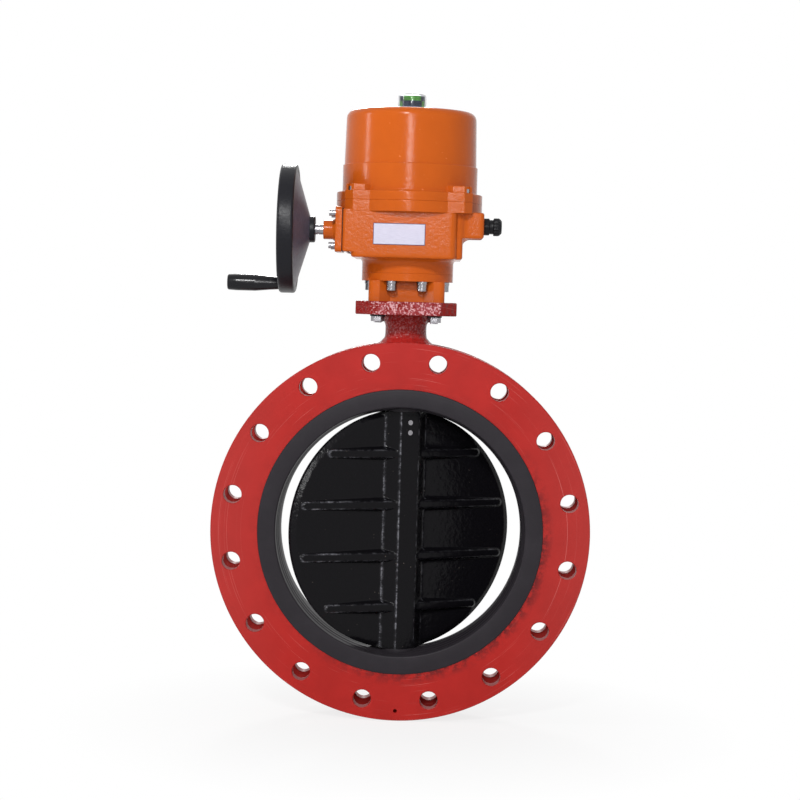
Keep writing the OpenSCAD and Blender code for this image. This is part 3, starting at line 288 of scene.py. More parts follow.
class Form:
    """Collects grids of points, in millimetres, into one mesh of quads."""

    def __init__(self):
        self.points, self.quads, self.count = [], [], 0

    def add(self, grid, loop=False, around=True):
        """Joins neighbours of a (row, column) grid; loop closes the rows and around closes the columns."""
        n, m = grid.shape[:2]
        index = self.count + np.arange(n * m).reshape(n, m)
        index = np.vstack([index, index[:1]]) if loop else index
        index = np.hstack([index, index[:, :1]]) if around else index
        quads = np.stack([index[:-1, :-1], index[1:, :-1], index[1:, 1:], index[:-1, 1:]], -1)
        self.quads.append(quads.reshape(-1, 4))
        self.points.append(grid.reshape(-1, 3))
        self.count += n * m
        return self

    def mesh(self, name):
        """Mesh in metres, its doubles merged and its faces turned outwards."""
        mesh = bpy.data.meshes.new(name)
        mesh.from_pydata((np.concatenate(self.points) * MM).tolist(), [], np.concatenate(self.quads).tolist())
        bm = bmesh.new()
        bm.from_mesh(mesh)
        bmesh.ops.remove_doubles(bm, verts=bm.verts, dist=2e-6)
        bmesh.ops.dissolve_degenerate(bm, edges=bm.edges, dist=1e-6)
        bmesh.ops.recalc_face_normals(bm, faces=bm.faces)
        bm.to_mesh(mesh)
        bm.free()
        return mesh


def loose(form, name="cutter"):
    """A form as an object of its own, for a Boolean."""
    made = bpy.data.objects.new(name, form.mesh(name))
    bpy.context.scene.collection.objects.link(made)
    return made


def bake_modifiers(piece):
    """Keeps what a piece's modifiers make as its mesh."""
    bpy.context.view_layer.update()
    made = bpy.data.meshes.new_from_object(piece.evaluated_get(bpy.context.evaluated_depsgraph_get()))
    piece.modifiers.clear()
    old, piece.data = piece.data, made
    bpy.data.meshes.remove(old)


def combine(piece, operation, *forms):
    """Unites forms with a piece, or cuts them out of it."""
    others = [loose(f) for f in forms]
    for other in others:
        step = piece.modifiers.new(operation, "BOOLEAN")
        step.operation, step.object, step.solver = operation, other, "MANIFOLD"
    bake_modifiers(piece)
    for other in others:
        bpy.data.objects.remove(other)


def settle(piece, body, finish, stands_for=(), sharp=32.0, weighted=False):
    """Shades a finished piece, gives it its finish and lets it ride on its body."""
    piece.data.shade_smooth()
    piece.data.set_sharp_from_angle(angle=math.radians(sharp))
    piece.data.materials.clear()
    piece.data.materials.append(FINISHES[finish])
    if weighted:
        piece.modifiers.new("flat faces stay flat", "WEIGHTED_NORMAL").keep_sharp = True
    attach(piece, body)
    if stands_for:
        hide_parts(*stands_for)
    return piece


def shaft_cutter(radius, low, high, centre=STEM, axis="z", count=64):
    """Plain round cutter between two heights."""
    return Form().add(turned([(0, low), (radius, low), (radius, high), (0, high)], circle(count), centre, axis))


# ---------- materials ----------

def linear(code):
    """Linear colour of an sRGB hex value such as B02A28."""
    srgb = [int(code[i:i + 2], 16) / 255 for i in (0, 2, 4)]
    return [*(c / 12.92 if c <= 0.04045 else ((c + 0.055) / 1.055) ** 2.4 for c in srgb), 1.0]


def darker(rgba, share):
    """A linear colour at a share of its strength."""
    return [*(c * share for c in rgba[:3]), 1.0]


def add(tree, kind, sockets=(), **settings):
    """Adds a shader node, sets it up, and fills its sockets, by name or number in a dict and otherwise in order, with
    values, outputs or other nodes' first working output.

    A map range takes its value, the run that it comes from and the run that it goes to; a mixed colour takes its
    share as 0 and its colours as 6 and 7.
    """
    made = tree.nodes.new("ShaderNode" + kind)
    for key, value in settings.items():
        setattr(made, key, value)
    for key, value in sockets.items() if isinstance(sockets, dict) else enumerate(sockets):
        if isinstance(value, bpy.types.Node):
            value = next(o for o in value.outputs if o.enabled)
        if isinstance(value, bpy.types.NodeSocket):
            tree.links.new(value, made.inputs[key])
        else:
            made.inputs[key].default_value = value
    return made


def begin(name):
    """An empty material, what adds nodes to it, and the object's own coordinates."""
    made = bpy.data.materials.new(name)
    made.use_nodes = True
    made.node_tree.nodes.clear()
    node = partial(add, made.node_tree)
    return made, node, node("TexCoord").outputs["Object"]


def patches(node, place, size, low, high, to_low=0.0, to_high=1.0, detail=3.0, rough=0.55):
    """Cloudy patches about size millimetres across: noise whose run from low to high becomes to_low to to_high."""
    noise = node("TexNoise", {"Vector": place, "Scale": 1 / (size * MM), "Detail": detail, "Roughness": rough})
    return node("MapRange", [noise, low, high, to_low, to_high])


def round_bore(node, place):
    """Distance from the pipe's axis, with the x, y and z that it comes from."""
    flat = node("VectorMath", [place, (1, 0, 1)], operation="MULTIPLY")
    return (node("VectorMath", [flat], operation="LENGTH"), *node("SeparateXYZ", [place]).outputs)


def close(node, colour, layers, rough, specular, height=None, depth=0.0, **shader):
    """Closes a material: tints laid over a base colour, each by its share, then its gloss and a bump of depth
    millimetres."""
    for share, tint in layers:
        colour = node("Mix", {0: share, 6: colour, 7: tint}, data_type="RGBA")
    skin = {"Base Color": colour, "Roughness": rough, "Specular IOR Level": specular}
    if height:
        skin["Normal"] = node("Bump", {"Height": height, "Distance": depth * MM})
    skin.update({key.replace("_", " "): value for key, value in shader.items()})
    node("OutputMaterial", [node("BsdfPrincipled", skin)])


def plain_finish(name, code, rough, spot, depth, metal, specular, second=None, **shader):
    """A finish with cloudy colour, uneven gloss and a fine raised grain, for pieces that show little or not at all."""
    made, node, place = begin(name)
    base = linear(code)
    clouds = (patches(node, place, spot * 5, 0.35, 0.65), linear(second) if second else darker(base, 0.78))
    fine = patches(node, place, spot, 0.3, 0.7, rough * 0.85, min(rough * 1.15, 1.0))
    close(node, base, [clouds], fine, specular, fine, depth / (rough * 0.3), Metallic=metal, **shader)
    return made


def oxide_enamel(look):
    """Oxide-red alkyd enamel on grey iron: a soft brushed gloss on the turned faces, wet and lumpy on the cast neck
    and plate."""
    made, node, place = begin("oxide_enamel_on_iron")
    away, x, y, z = round_bore(node, place)
    flange_edge, seat_edge = BODY[1][0] * MM, LINER[1][0] * MM
    plate_front, plate_low = (2 * STEM[1] - BODY[1][1]) * MM, (BODY[1][2] - PLATE_T) * MM
    neck = node("MapRange", [z, flange_edge + 0.0045, flange_edge + 0.0135])
    cast = node("Math", [neck, node("MapRange", [away, flange_edge - 0.002, flange_edge])], operation="MAXIMUM")
    red = [*look.red, 1]
    clouds = patches(node, place, 70, 0.35, 0.65)
    # The cast neck and plate are darker. Most on the plate's front face, thinly on the neck and not on the plate's
    # sides, a patchy pink haze is painted sheen and pale pink grains about 3 mm across are painted highlights, the
    # sparkle of the wet gloss.
    facing = node("MapRange", [y, plate_front + 0.0006, plate_front + 0.0014, 0.75, 0.0])
    below = node("MapRange", [z, plate_low - 0.004, plate_low, 0.15, 0.0])
    # Mask of the painted sheen and painted sparkle: most on the plate's front face, thin on the neck below the plate.
    bare = node("Math", [facing, below], operation="MAXIMUM")
    grain = node("Math", [patches(node, place, 3.0, 0.52, 0.62, detail=1.5), bare], operation="MULTIPLY")
    painted_sheen = node("Math", [patches(node, place, 12, 0.42, 0.62, 0.0, 1.2, detail=4), bare], operation="MULTIPLY")
    cast_tone_and_painted_light = node("Mix", {0: painted_sheen, 6: darker(red, 0.56), 7: linear("9A3E44")}, data_type="RGBA")
    # Pale pink painted sparkle highlights laid over the painted sheen.
    cast_tone_and_painted_light = node("Mix", {0: grain, 6: cast_tone_and_painted_light, 7: linear("E2B0B4")}, data_type="RGBA")
    # Drier, paler paint towards the rim at both sides.
    dry = node("MapRange", [node("Math", [x], operation="ABSOLUTE"), 0.17, 0.3, 0.0, 0.3])
    # Rubber smears round the seat, densest low on the right, on the front face alone.
    smear = node("MapRange", [y, 0.002, 0.004, 1.0, 0.0])
    ring = node("MapRange", [away, seat_edge, seat_edge + 0.0185, 1.0, 0.0])
    low_right = node("MapRange", [node("Math", [x, z], operation="SUBTRACT"), 0.02, 0.26, 0.12, 0.85])
    for part in (ring, low_right, patches(node, place, 16, 0.44, 0.56, detail=6, rough=0.7)):
        smear = node("Math", [smear, part], operation="MULTIPLY")
    # Thin turning lines and scratches, about 1 mm apart, painted paler: a painted highlight of the light that they
    # catch.
    across = [node("Math", [away, 900.0], operation="MULTIPLY"), node("Math", [x, 9.0], operation="MULTIPLY")]
    turning = node("TexNoise", {"Vector": node("CombineXYZ", across), "Scale": 1.0, "Detail": 2.0})
    scratch_glint = node("MapRange", [turning, 0.66, 0.74, 0.0, 0.5])
    layers = [(clouds, darker(red, 0.88)), (neck, cast_tone_and_painted_light), (dry, linear("A84744")), (smear, linear("451F22")),
              (scratch_glint, linear("D9827C"))]
    gloss = node("MapRange", [cast, 0.0, 1.0, 0.38, 0.16])
    height = node("MapRange", [cast, 0.0, 1.0, 0.04, 1.0])
    lump = node("Math", [patches(node, place, 6.0, 0.3, 0.7, detail=1.5), height], operation="MULTIPLY")
    close(node, red, layers, gloss, 0.1, lump, 1.6)
    return made


def sprayed_enamel(look):
    """Orange polyurethane enamel sprayed on cast aluminium: half gloss over fine orange peel, with a few dust nibs."""
    made, node, place = begin("sprayed_orange_enamel")
    orange = [*look.orange, 1]
    clouds = (patches(node, place, 90, 0.3, 0.7), darker(orange, 0.9))
    nibs = (patches(node, place, 7, 0.73, 0.77, 0.0, 0.6, detail=2), linear("DE8048"))
    peel = patches(node, place, 5.0, 0.3, 0.7, 0.14, 0.2, detail=2)
    close(node, orange, [clouds, nibs], peel, 0.12, peel, 1.6)
    return made


def moulded_rubber(look):
    """Black EPDM from a turned mould: matt, with fine rings about the bore and a dusty bloom."""
    made, node, place = begin("moulded_epdm")
    away = round_bore(node, place)[0]
    across = node("CombineXYZ", [node("Math", [away, 420.0], operation="MULTIPLY")])
    rings = node("TexNoise", {"Vector": across, "Scale": 1.0, "Detail": 3.0})
    rough = node("MapRange", [rings, 0.3, 0.7, 0.36, 0.5])
    bloom = (patches(node, place, 40, 0.45, 0.75, 0.0, 0.5, detail=5), darker(look.rubber, 1.4))
    close(node, [*look.rubber, 1], [bloom], rough, 0.1, rings, 0.12)
    return made


def gloss_coating(look):
    """Black epoxy baked on a rough casting: wet gloss over soft lumps, with grains of dust in it, and grey spots along
    the crests that are painted highlights."""
    made, node, place = begin("baked_black_epoxy")
    cells = node("TexVoronoi", {"Vector": place, "Scale": 1 / (9 * MM)})
    speck = node("MapRange", [cells, 0.07, 0.12, 0.6, 0.0])
    dust = node("Math", [speck, patches(node, place, 45, 0.55, 0.68)], operation="MULTIPLY")
    spots = patches(node, place, 11, 0.46, 0.68, 0.06, 1.3, detail=5, rough=0.75)
    # Grey painted highlights in spots along the crests, read from the disc's vertices.
    crest_highlight = node("Math", [node("Attribute", attribute_name="crest_highlight").outputs["Fac"], spots], operation="MULTIPLY")
    layers = [(dust, linear("6E665E")), (crest_highlight, linear("96969E"))]
    lump = patches(node, place, 8, 0.3, 0.7, 0.16, 0.24, detail=2.5)
    close(node, [*look.disc, 1], layers, lump, 0.1, lump, 5)
    return made


def handwheel_enamel(look):
    """Satin black stove enamel: thin and soft on the rim, with a lighter grey painted sheen on the coned web behind it.
    """
    made, node, place = begin("satin_black_enamel")
    off = node("VectorMath", [place, [v * MM for v in WORM]], operation="SUBTRACT")
    flat = node("VectorMath", [off, (0, 1, 1)], operation="MULTIPLY")
    away = node("VectorMath", [flat], operation="LENGTH")
    # Lighter grey painted sheen on the coned web, between the rim and the hub.
    painted_web_sheen = patches(node, place, 25, 0.3, 0.6, 0.75, 1.0)
    inside_rim, outside_hub = [away, 0.088, 0.0895, 1.0, 0.0], [away, 0.0205, 0.0215]
    for run in (inside_rim, outside_hub):
        painted_web_sheen = node("Math", [painted_web_sheen, node("MapRange", run)], operation="MULTIPLY")
    fine = patches(node, place, 4, 0.3, 0.7, 0.3, 0.4)
    close(node, [*look.wheel, 1], [(painted_web_sheen, linear("625F6E"))], fine, 0.16, fine, 1.0)
    return made


def bare_plate():
    """Anodised aluminium plate, left bare inside a thin printed border: pale, faintly blue, finely brushed."""
    made, node, place = begin("bare_anodised_plate")
    low, high = span("nameplate")
    middle, half = (low + high) / 2 * MM, (high - low) / 2 * MM
    off = node("VectorMath", [node("VectorMath", [place, middle], operation="SUBTRACT")], operation="ABSOLUTE")
    off = node("SeparateXYZ", [node("VectorMath", [off, half], operation="SUBTRACT")])
    inset = node("Math", [off.outputs[0], off.outputs[2]], operation="MAXIMUM")
    along = node("Mapping", {"Vector": place, "Scale": (0.15, 1.0, 2.0)}).outputs[0]
    brush = patches(node, along, 1.5, 0.35, 0.65, 0.28, 0.4, detail=2)
    streaks = (node("MapRange", [brush, 0.28, 0.4]), linear("C0BDD0"))
    border = (node("MapRange", [inset, -0.0011, -0.0008]), linear("343B60"))
    close(node, linear("CBC8DA"), [streaks, border], brush, 0.25)
    return made


# The plainer finishes: name, colour, roughness, size and depth of the grain in millimetres, metallic, specular.
PLAIN = {
    # Turned and cold-formed stainless steel, bright with fine tool marks.
    "stainless_steel": ("turned_stainless", "9A989C", 0.26, 2.0, 0.04, 1.0, 0.5),
    "machined_steel": ("oiled_machined_steel", "7C797A", 0.34, 2.0, 0.05, 1.0, 0.5),
    "bronze": ("bearing_bronze", "B58A4A", 0.36, 3.0, 0.05, 1.0, 0.5),
    "seal_rubber": ("nitrile_rubber", "202020", 0.62, 4.0, 0.05, 0.0, 0.2),
    "black_oxide_steel": ("black_oxide_steel", "2E2E30", 0.42, 3.0, 0.05, 1.0, 0.5),
    # Bright zinc on rolled threads and forged heads: a cool grey with a faint yellow cast in patches.
    "zinc_plate": ("zinc_plated_steel", "6C6C75", 0.32, 4.0, 0.04, 1.0, 0.5, "605E5C"),
    "motor_paint": ("grey_motor_enamel", "4D5358", 0.5, 5.0, 0.06, 0.0, 0.3),
    "cast_aluminium": ("die_cast_aluminium", "A9AAAB", 0.5, 3.0, 0.1, 1.0, 0.5),
    "copper_winding": ("varnished_copper_wire", "A85A2C", 0.4, 1.5, 0.2, 1.0, 0.5),
    "ivory_plastic": ("ivory_moulded_nylon", "D9D2BC", 0.5, 5.0, 0.03, 0.0, 0.3),
    # Glossy phenolic of the turning handle and matt nylon of the cable gland.
    "black_plastic": ("glossy_phenolic", "141418", 0.2, 8.0, 0.04, 0.0, 0.22),
    "gland_plastic": ("black_moulded_nylon", "151518", 0.34, 3.0, 0.05, 0.0, 0.14),
    "navy_plastic": ("navy_moulded_plastic", "262E48", 0.35, 5.0, 0.02, 0.0, 0.3),
    "green_plastic": ("green_moulded_plastic", "4FA02C", 0.35, 5.0, 0.02, 0.0, 0.3),
}
FINISHES = {}


def make_finishes(look):
    """One material for each of the record's finishes."""
    FINISHES.update({
        "red_paint": oxide_enamel(look), "orange_paint": sprayed_enamel(look), "seat_rubber": moulded_rubber(look),
        "disc_coating": gloss_coating(look), "plate_aluminium": bare_plate(), "black_paint": handwheel_enamel(look),
        # Clear moulded polycarbonate: colourless, glossy, bending light a little.
        "clear_plastic": plain_finish(
            "clear_polycarbonate", "F4F6F8", 0.06, 12.0, 0.005, 0.0, 0.5, Transmission_Weight=1.0, IOR=1.3),
        **{slot: plain_finish(*plain) for slot, plain in PLAIN.items()},
    })


# ---------- valve ----------

BODY_BORE, SEAT_BORE = 22.05, 18.35     # radii of the bores for the stems in the body and in the liner
PAD_R = 31.0                            # radius of the liner's pads round the stems
RIBS = (122.0, 41.0, -41.0, -122.0)     # heights of the disc's ribs from the pipe's axis
RIB_HALF, RIB_END = 6.5, 180.0          # half a rib's width, and the radius that its round ends reach
CREST, FOOT = 15.8, 35.3                # how far the crest and the foot of the disc's boss lie from the stem


def flanges_and_barrel(s):
    """Both flanges and the barrel between them: one closed section turned about the pipe's axis."""
    r, t, f = s.flange_d / 2, s.flange_t, FACE_TO_FACE
    section = outline(
        [(205, 3.5), (224.55, 3.5), (224.55, 0), (r, 0), (r, t), (229, t), (229, f - t), (r, f - t), (r, f),
         (224.55, f), (224.55, f - 3.5), (205, f - 3.5)],
        [0.4, 0.4, 0.6, s.rim_round, s.rim_round + 1, 8, 8, s.rim_round + 1, s.rim_round, 0.6, 0.4, 0.4], 5)
    return Form().add(turned(section, circle(216), axis="y"), loop=True)


def flange_holes(s):
    """Cutters for the flange holes, flared at the four faces that they pass, and for the tapped hole low in the rim."""
    t, f, r, e, on = s.flange_t, FACE_TO_FACE, s.hole_d / 2, 1.1, s.bolt_circle / 2
    path = [(0, -1), (r + 2 * e, -1), (r, e), (r, t - e), (r + 2 * e, t + 1), (r + 2 * e, f - t - 1), (r, f - t + e),
            (r, f - e), (r + 2 * e, f + 1), (0, f + 1)]
    made = Form()
    for i in range(s.bolt_count):
        turn = (i + 0.5) * TURN / s.bolt_count
        made.add(turned(path, circle(40), (on * math.sin(turn), 0, on * math.cos(turn)), "y"))
    tapped = [(0, -1), (3.7, -1), (3, 0.6), (3, 15), (0, 17)]
    return made.add(turned(tapped, circle(20), FEATURES["tapped_hole"][1], "y"))


def neck_casting():
    """Neck from the barrel up to the drive plate: in every direction one profile, whose corners lie on a low pad,
    the round neck and the square plate with its corners cut off."""
    pad, plate = oblong(-57, 57, -40, 40, 30), cut_square(BODY[1][1] - STEM[1], 25, 3)
    a = directions(96, pad, plate)
    wide, square = reach(pad, a), reach(plate, a)
    low, top = BODY[1][2] - PLATE_T, BODY[1][2]
    levels = stack(a, (214, 0), (214, wide), (285, wide), (293.5, 47), (298, 40), (305, 33.5), (312, 32.5),
                   (low - 14, 32.5), (low, 44), (low, square), (top, square), (top, 0))
    profile = rounded(levels, [0, 0.5, 6, 8, 6, 6, 20, 14, 3, 2.2, 2.2, 0])
    return Form().add(turned(profile, a, STEM))


def trunnion():
    """Blind boss under the barrel that carries the lower stem."""
    profile = rounded([(0, -213), (40, -213), (40, -232), (32.5, -240), (32.5, -268), (0, -268)], [0, 0.5, 4, 6, 2, 0])
    return Form().add(turned(profile, circle(96), STEM))


def seat_form():
    """Rubber liner: a waisted tube with stepped ridges in its mouth and a flat face ring on both flanges."""
    half = [(191, 0), (191, 15), (192.3, 21), (192.3, 27), (193.8, 31), (193.8, 37), (195.2, 41), (195.9, 47.5),
            (196.4, 52.5), (224.5, 52.5), (224.5, 47.5), (204.95, 47.5)]
    arc = [0, 8, 1, 0.6, 0.8, 0.6, 0.8, 3, 2.6, 1.4, 0.5, 0.3]
    front = [(r, STEM[1] - h) for r, h in half]
    back = [(r, STEM[1] + h) for r, h in half[:0:-1]]
    section = outline(front + back, arc + arc[:0:-1], 5)
    return Form().add(turned(section, circle(216), axis="y"), loop=True)


def strip_form(path):
    """Thin strip along a path round the pipe's axis: the radius, the turn and the depth are carried evenly between its
    points, and the flat oval section is widest in the middle. It stands out less than the disc's gap of 0.4 mm."""
    x, y, z = np.asarray(path, float).T
    t, own = np.linspace(0, 1, 24), np.linspace(0, 1, len(x))
    radius, turn, depth = (np.interp(t, own, v)[:, None] for v in (np.hypot(x, z), np.arctan2(x, z), y))
    wide, a = 1.8 * np.sin(math.pi * t)[:, None] ** 0.5, circle(10)
    radius, depth = radius + 0.15 * wide * np.cos(a), depth + wide * np.sin(a)
    return Form().add(np.stack([radius * np.sin(turn), depth, radius * np.cos(turn)], -1))


def seat_pads():
    """Flat pads of the liner round the two stems."""
    made = Form()
    for low, high in ((188.4, 199), (-188.4, -199)):
        path = rounded([(0, low), (PAD_R, low), (PAD_R, high), (0, high)], [0, 1.2, 0, 0])
        made.add(turned(path, circle(72), STEM))
    return made


def rib_end(at):
    """How far from the stem the rib at a height ends."""
    return math.sqrt(RIB_END ** 2 - at ** 2)


def off_rib(u, z, at):
    """Distance from the middle line of the rib at a height, which stops half a width short of the rib's end."""
    return np.hypot(np.maximum(np.abs(u) - (rib_end(at) - RIB_HALF), 0), z - at)


def disc_half_thickness(u, z, s):
    """Half the disc's thickness: the smooth maximum of a plate chamfered at its rim, a roof-shaped boss along the stem
    and four ribs, whose ends are round and whose tops fall from the boss to the rim. Their crests are ramps."""
    away, out = np.hypot(u, z), np.abs(u)
    plate = -smooth_most(0.35, np.full_like(u, -8.5), -(4.4 + (s.disc_d / 2 - away) * 0.5))
    made = [plate, 26.7 - 0.933 * ramp(out - CREST, 0.8)]
    for at in RIBS:
        top = 24 + (12.5 - 24) * np.clip((out - CREST) / (rib_end(at) - CREST), 0, 1)
        made.append(top - 2.4 * ramp(off_rib(u, z, at) - RIB_HALF + 1.2, 0.9))
    return smooth_most(s.disc_blend, *made)


def paint_crest_highlights(piece, s):
    """Writes the painted highlight at each vertex: a bell of its distance from the crests of boss and ribs and from
    the foot of the boss, fainter on the half of each face that trails."""
    x, y, z = (vertices(piece) / MM).T
    c, n = math.cos(s.disc_angle), math.sin(s.disc_angle)
    u, h = x * c + (y - STEM[1]) * n, (y - STEM[1]) * c - x * n
    out = np.abs(u)
    side = np.where(u * h > 0, 1.0, 0.3)
    crest = np.min([np.abs(off_rib(u, z, at) - 5.6) for at in RIBS], 0)
    ribs = np.exp(-(crest / 0.9) ** 2) * (out > 24) * np.clip((out - 60) / 100, 0.2, 0.75)
    boss = np.exp(-((out - CREST) / 0.8) ** 2)
    foot = 0.8 * np.exp(-((out - FOOT) / 1.1) ** 2) * (np.min([np.abs(z - at) for at in RIBS], 0) > 8)
    crest_highlight = piece.data.attributes.new("crest_highlight", "FLOAT", "POINT")
    crest_highlight.data.foreach_set("value", (side * np.max([ribs, boss, foot], 0)).astype(np.float32))


def disc_form(s):
    """Disc as rows up the stem, each a closed section: out over the front face and back over the rear one.

    Columns keep their distance from the stem as far as the last of near and share out what is left to the round
    edge, half the width of a row at height z being the square root of R squared less z squared. Rows lie closer
    together over the flanks of the ribs.
    """
    r = s.disc_d / 2
    top = math.sqrt(r * r - PAD_R ** 2)
    near = np.array([0, 5, 9, 12, 14, 15, 15.8, 16.8, 18.5, 21, 24, 27, 30, 32, 34, 35.5, 37, 39, 41.5, 44.0])
    far = np.concatenate([np.linspace(0, 0.92, 58)[1:], np.linspace(0.93, 1, 16)])
    flank = np.array([10.5, 9.6, 8.8, 8.1, 7.5, 6.9, 6.4, 5.9, 5.4, 4.9, 4.3, 3.6, 2.6, 1.3])
    flank = np.concatenate([-flank, [0], flank[::-1]])
    z = np.unique(np.concatenate([np.linspace(-top, top, 110), *[at + flank for at in RIBS]]).round(3))
    edge = np.sqrt(np.maximum(r * r - z * z, 0))[:, None]
    rest = np.where(edge > near[-1], near[-1] + (edge - near[-1]) * far[None], edge)
    half = np.concatenate([np.minimum(near[None], edge), rest], 1)
    u = np.concatenate([-half[:, :0:-1], half], 1)
    zz = np.broadcast_to(z[:, None], u.shape)
    h = disc_half_thickness(u, zz, s)
    front, back = np.stack([u, -h, zz], -1), np.stack([u, h, zz], -1)[:, ::-1]
    ring = np.concatenate([front, back], 1)
    flat = ring * (1, 0, 1)
    u, h, z = np.moveaxis(np.concatenate([flat[:1], ring, flat[-1:]]), -1, 0)
    c, n = math.cos(s.disc_angle), math.sin(s.disc_angle)
    return Form().add(np.stack([u * c - h * n, u * n + h * c + STEM[1], z], -1))


# ---------- drive ----------

JOINT_SQUARE = cut_square(98.5, 12.5, 1.2)
# Where the joint flange's disc and square cross.
CROSSINGS = np.array([at for x in (-59.36, 59.36) for y in (-98.5, 98.5) for at in ((x, y), (y, x))])


def joint_outline(a):
    """Joint flange's distance in each direction: a disc and a square with cut corners, whichever reaches further."""
    return np.maximum(COVER[1][0], reach(JOINT_SQUARE, a))


def housing_form():
    """Gear housing: in every direction one profile from the spool's neck out over the floor, up the walls, out over
    the cable box and the joint flange, with a fillet at each corner; the plan is a smooth union of three outlines."""
    lower, upper = oblong(-87, 75, -98, 98, 9), oblong(HOUSING[0][0] + 14.4, 75, -98, 98, [4, 9, 9, 4])
    side, right = oblong(-60, 85, -84, 84, 7), HOUSING[1][0]
    box = outline([(-30, -78), (right, -78), (right, -12), (30, -12), (-30, 20)], [1, 6, 6, 1, 1])
    a = directions(240, lower, upper, side, box, JOINT_SQUARE, CROSSINGS)
    low, main = (smooth_most(1.8, reach(plan, a), reach(side, a)) for plan in (lower, upper))
    full = np.maximum(smooth_most(3.5, main, reach(box, a)), main)
    joint = joint_outline(a)
    roof = np.where(full > joint, 502.6, 500.0)
    jut = np.clip((full - main) / 12, 0, 1)
    levels = stack(a, (406, 0), (406, 72.2), (429, 72.2), (429, low), (437, low), (437, main), (462, main),
                   (462, full), (roof, full), (roof, joint), (JOINT_Z, joint), (JOINT_Z, 0))
    radii = np.stack(np.broadcast_arrays(0 * a, 0.8, 12, 4, 5, 3.5, 16, 5, 2 + 2 * jut, 1.2, 0.8, 0))
    return Form().add(turned(rounded(levels, radii, 7), a, STEM))


def housing_space():
    """Cutters for the room inside the gear housing, open at the top, the floor's bore, the worm shaft's opening and
    the cable entry."""
    room = oblong(-94.6, 69, -92, 92, 5)
    a = directions(96, room)
    inner = reach(room, a)
    levels = stack(a, (437, 0), (437, inner), (500, inner), (500, 99.55), (519, 99.55), (519, 0))
    return [Form().add(turned(levels, a, STEM)), shaft_cutter(27.05, 404, 440),
            shaft_cutter(26, -103, -90, WORM, "x"), shaft_cutter(10.05, 105, 119, CABLE, "x")]


def cover_form():
    """Drive cover: a shell whose profile runs from its inner roof down the inside, out over the joint flange and
    the corner lugs, and up the stepped outside to the round top edge."""
    wall, lugs = 106.3, cut_square(97, 11.5, 1.5)
    ends = np.array([32.9, 33.5, 34.2, 35, 36, 54, 55, 55.8, 56.5, 57.1])
    ends = np.radians(np.concatenate([quarter + ends for quarter in (0, 90, 180, 270)]))
    a = directions(288, JOINT_SQUARE, lugs, np.stack([np.cos(ends), np.sin(ends)], -1), CROSSINGS)
    r = reach(lugs, a)
    off = np.minimum(np.abs(r * np.cos(a)), np.abs(r * np.sin(a)))
    lug = wall + np.clip((off - 63.5) / 4, 0, 1) * np.maximum(r - wall, 0)
    joint, top, on_lug = joint_outline(a), COVER_TOP, np.clip((lug - wall) / 3, 0, 1)
    levels = stack(a, (top - 5, 0), (top - 5, 97.4), (576, 99.2), (574, 101.3), (JOINT_Z, 101.3), (JOINT_Z, joint),
                   (JOINT_Z + 14.5, joint), (JOINT_Z + 14.5, lug), (JOINT_Z + 24.2, lug), (JOINT_Z + 24.2, wall),
                   (575, wall), (575, 104.2), (top, 102.2), (top, 0))
    radii = np.stack(np.broadcast_arrays(
        0 * a, 7, 0.5, 0.5, 0.5, 0.8, 1.6, 3.2 - 2.4 * on_lug, 1.4, 1.5, 1.1, 0.8, 12.5, 0))
    return Form().add(turned(rounded(levels, radii, 7), a, STEM))


def block(centre, along, across, low, high, turn):
    """Upright four-sided cutter, turned about its own middle."""
    c, n = math.cos(turn), math.sin(turn)
    plan = ((-along, -across), (along, -across), (along, across), (-along, across))
    corners = np.array([(x * c - y * n, x * n + y * c) for x, y in plan])
    flat = np.concatenate([corners * k for k in (0, 1, 1, 0)]).reshape(4, 4, 2) + np.asarray(centre, float)
    heights = np.repeat([low, low, high, high], 4).reshape(4, 4, 1)
    return np.concatenate([flat, heights], -1)


def lug_pockets():
    """Cutters for the cover screws' spot faces and the slots that lead to them from outside."""
    bores, slots, out = Form(), Form(), 130.4
    low, high = JOINT_Z + 14, JOINT_Z + 30
    for sx, sy in ((1, 1), (-1, 1), (-1, -1), (1, -1)):
        turn = math.atan2(sy, sx)
        path = [(0, low), (5.5, low), (5.5, high), (0, high)]
        bores.add(turned(path, circle(32), (88 * sx, STEM[1] + 88 * sy, 0)))
        middle = (out * math.cos(turn), STEM[1] + out * math.sin(turn))
        slots.add(block(middle, 6, 3.5, low + 0.02, high + 1, turn))
    return bores, slots


def dome_form():
    """Clear indicator dome: a thin shell with a round upper edge."""
    (*_, base), (r, _, top) = span("indicator_dome")
    inner, under = r - 1.5, top - 1.5
    path = rounded([(0, top), (r, top), (r, base), (inner, base), (inner, under), (0, under)], [0, 3.4, 0.3, 0.3, 2, 0])
    return Form().add(turned(path, circle(96), STEM))


def handwheel_form():
    """Dished handwheel: a round rim, a coned web and a hub, one closed section turned about the worm shaft."""
    section = outline([
        (8.05, -145), (20.5, -145), (20.5, -153.5), (89.5, -174.8), (91.5, -173.6), (100, -174), (100, -199),
        (90, -199), (89, -196), (89, -182), (24, -162), (20.5, -176.5), (8.05, -176.5)],
        [0.8, 2.2, 1.5, 1.2, 1.5, 4, 4.2, 3, 2, 5, 7, 2, 0.8])
    return Form().add(turned(section, circle(128), WORM, "x"), loop=True)


def grip_form():
    """Turning handle: thick at its free end and drawn in towards the wheel, round the spindle."""
    left, right = (v[0] for v in span("handle_grip"))
    path = rounded([(0, left), (11.9, left), (12.8, left + 14), (12.8, left + 44), (10.6, right - 14), (9.6, right),
                    (4.05, right), (4.05, left + 12), (0, left + 12)], [0, 2.6, 20, 40, 25, 1.5, 0.3, 0.3, 0])
    return Form().add(turned(path, circle(64), HANDLE, "x"))


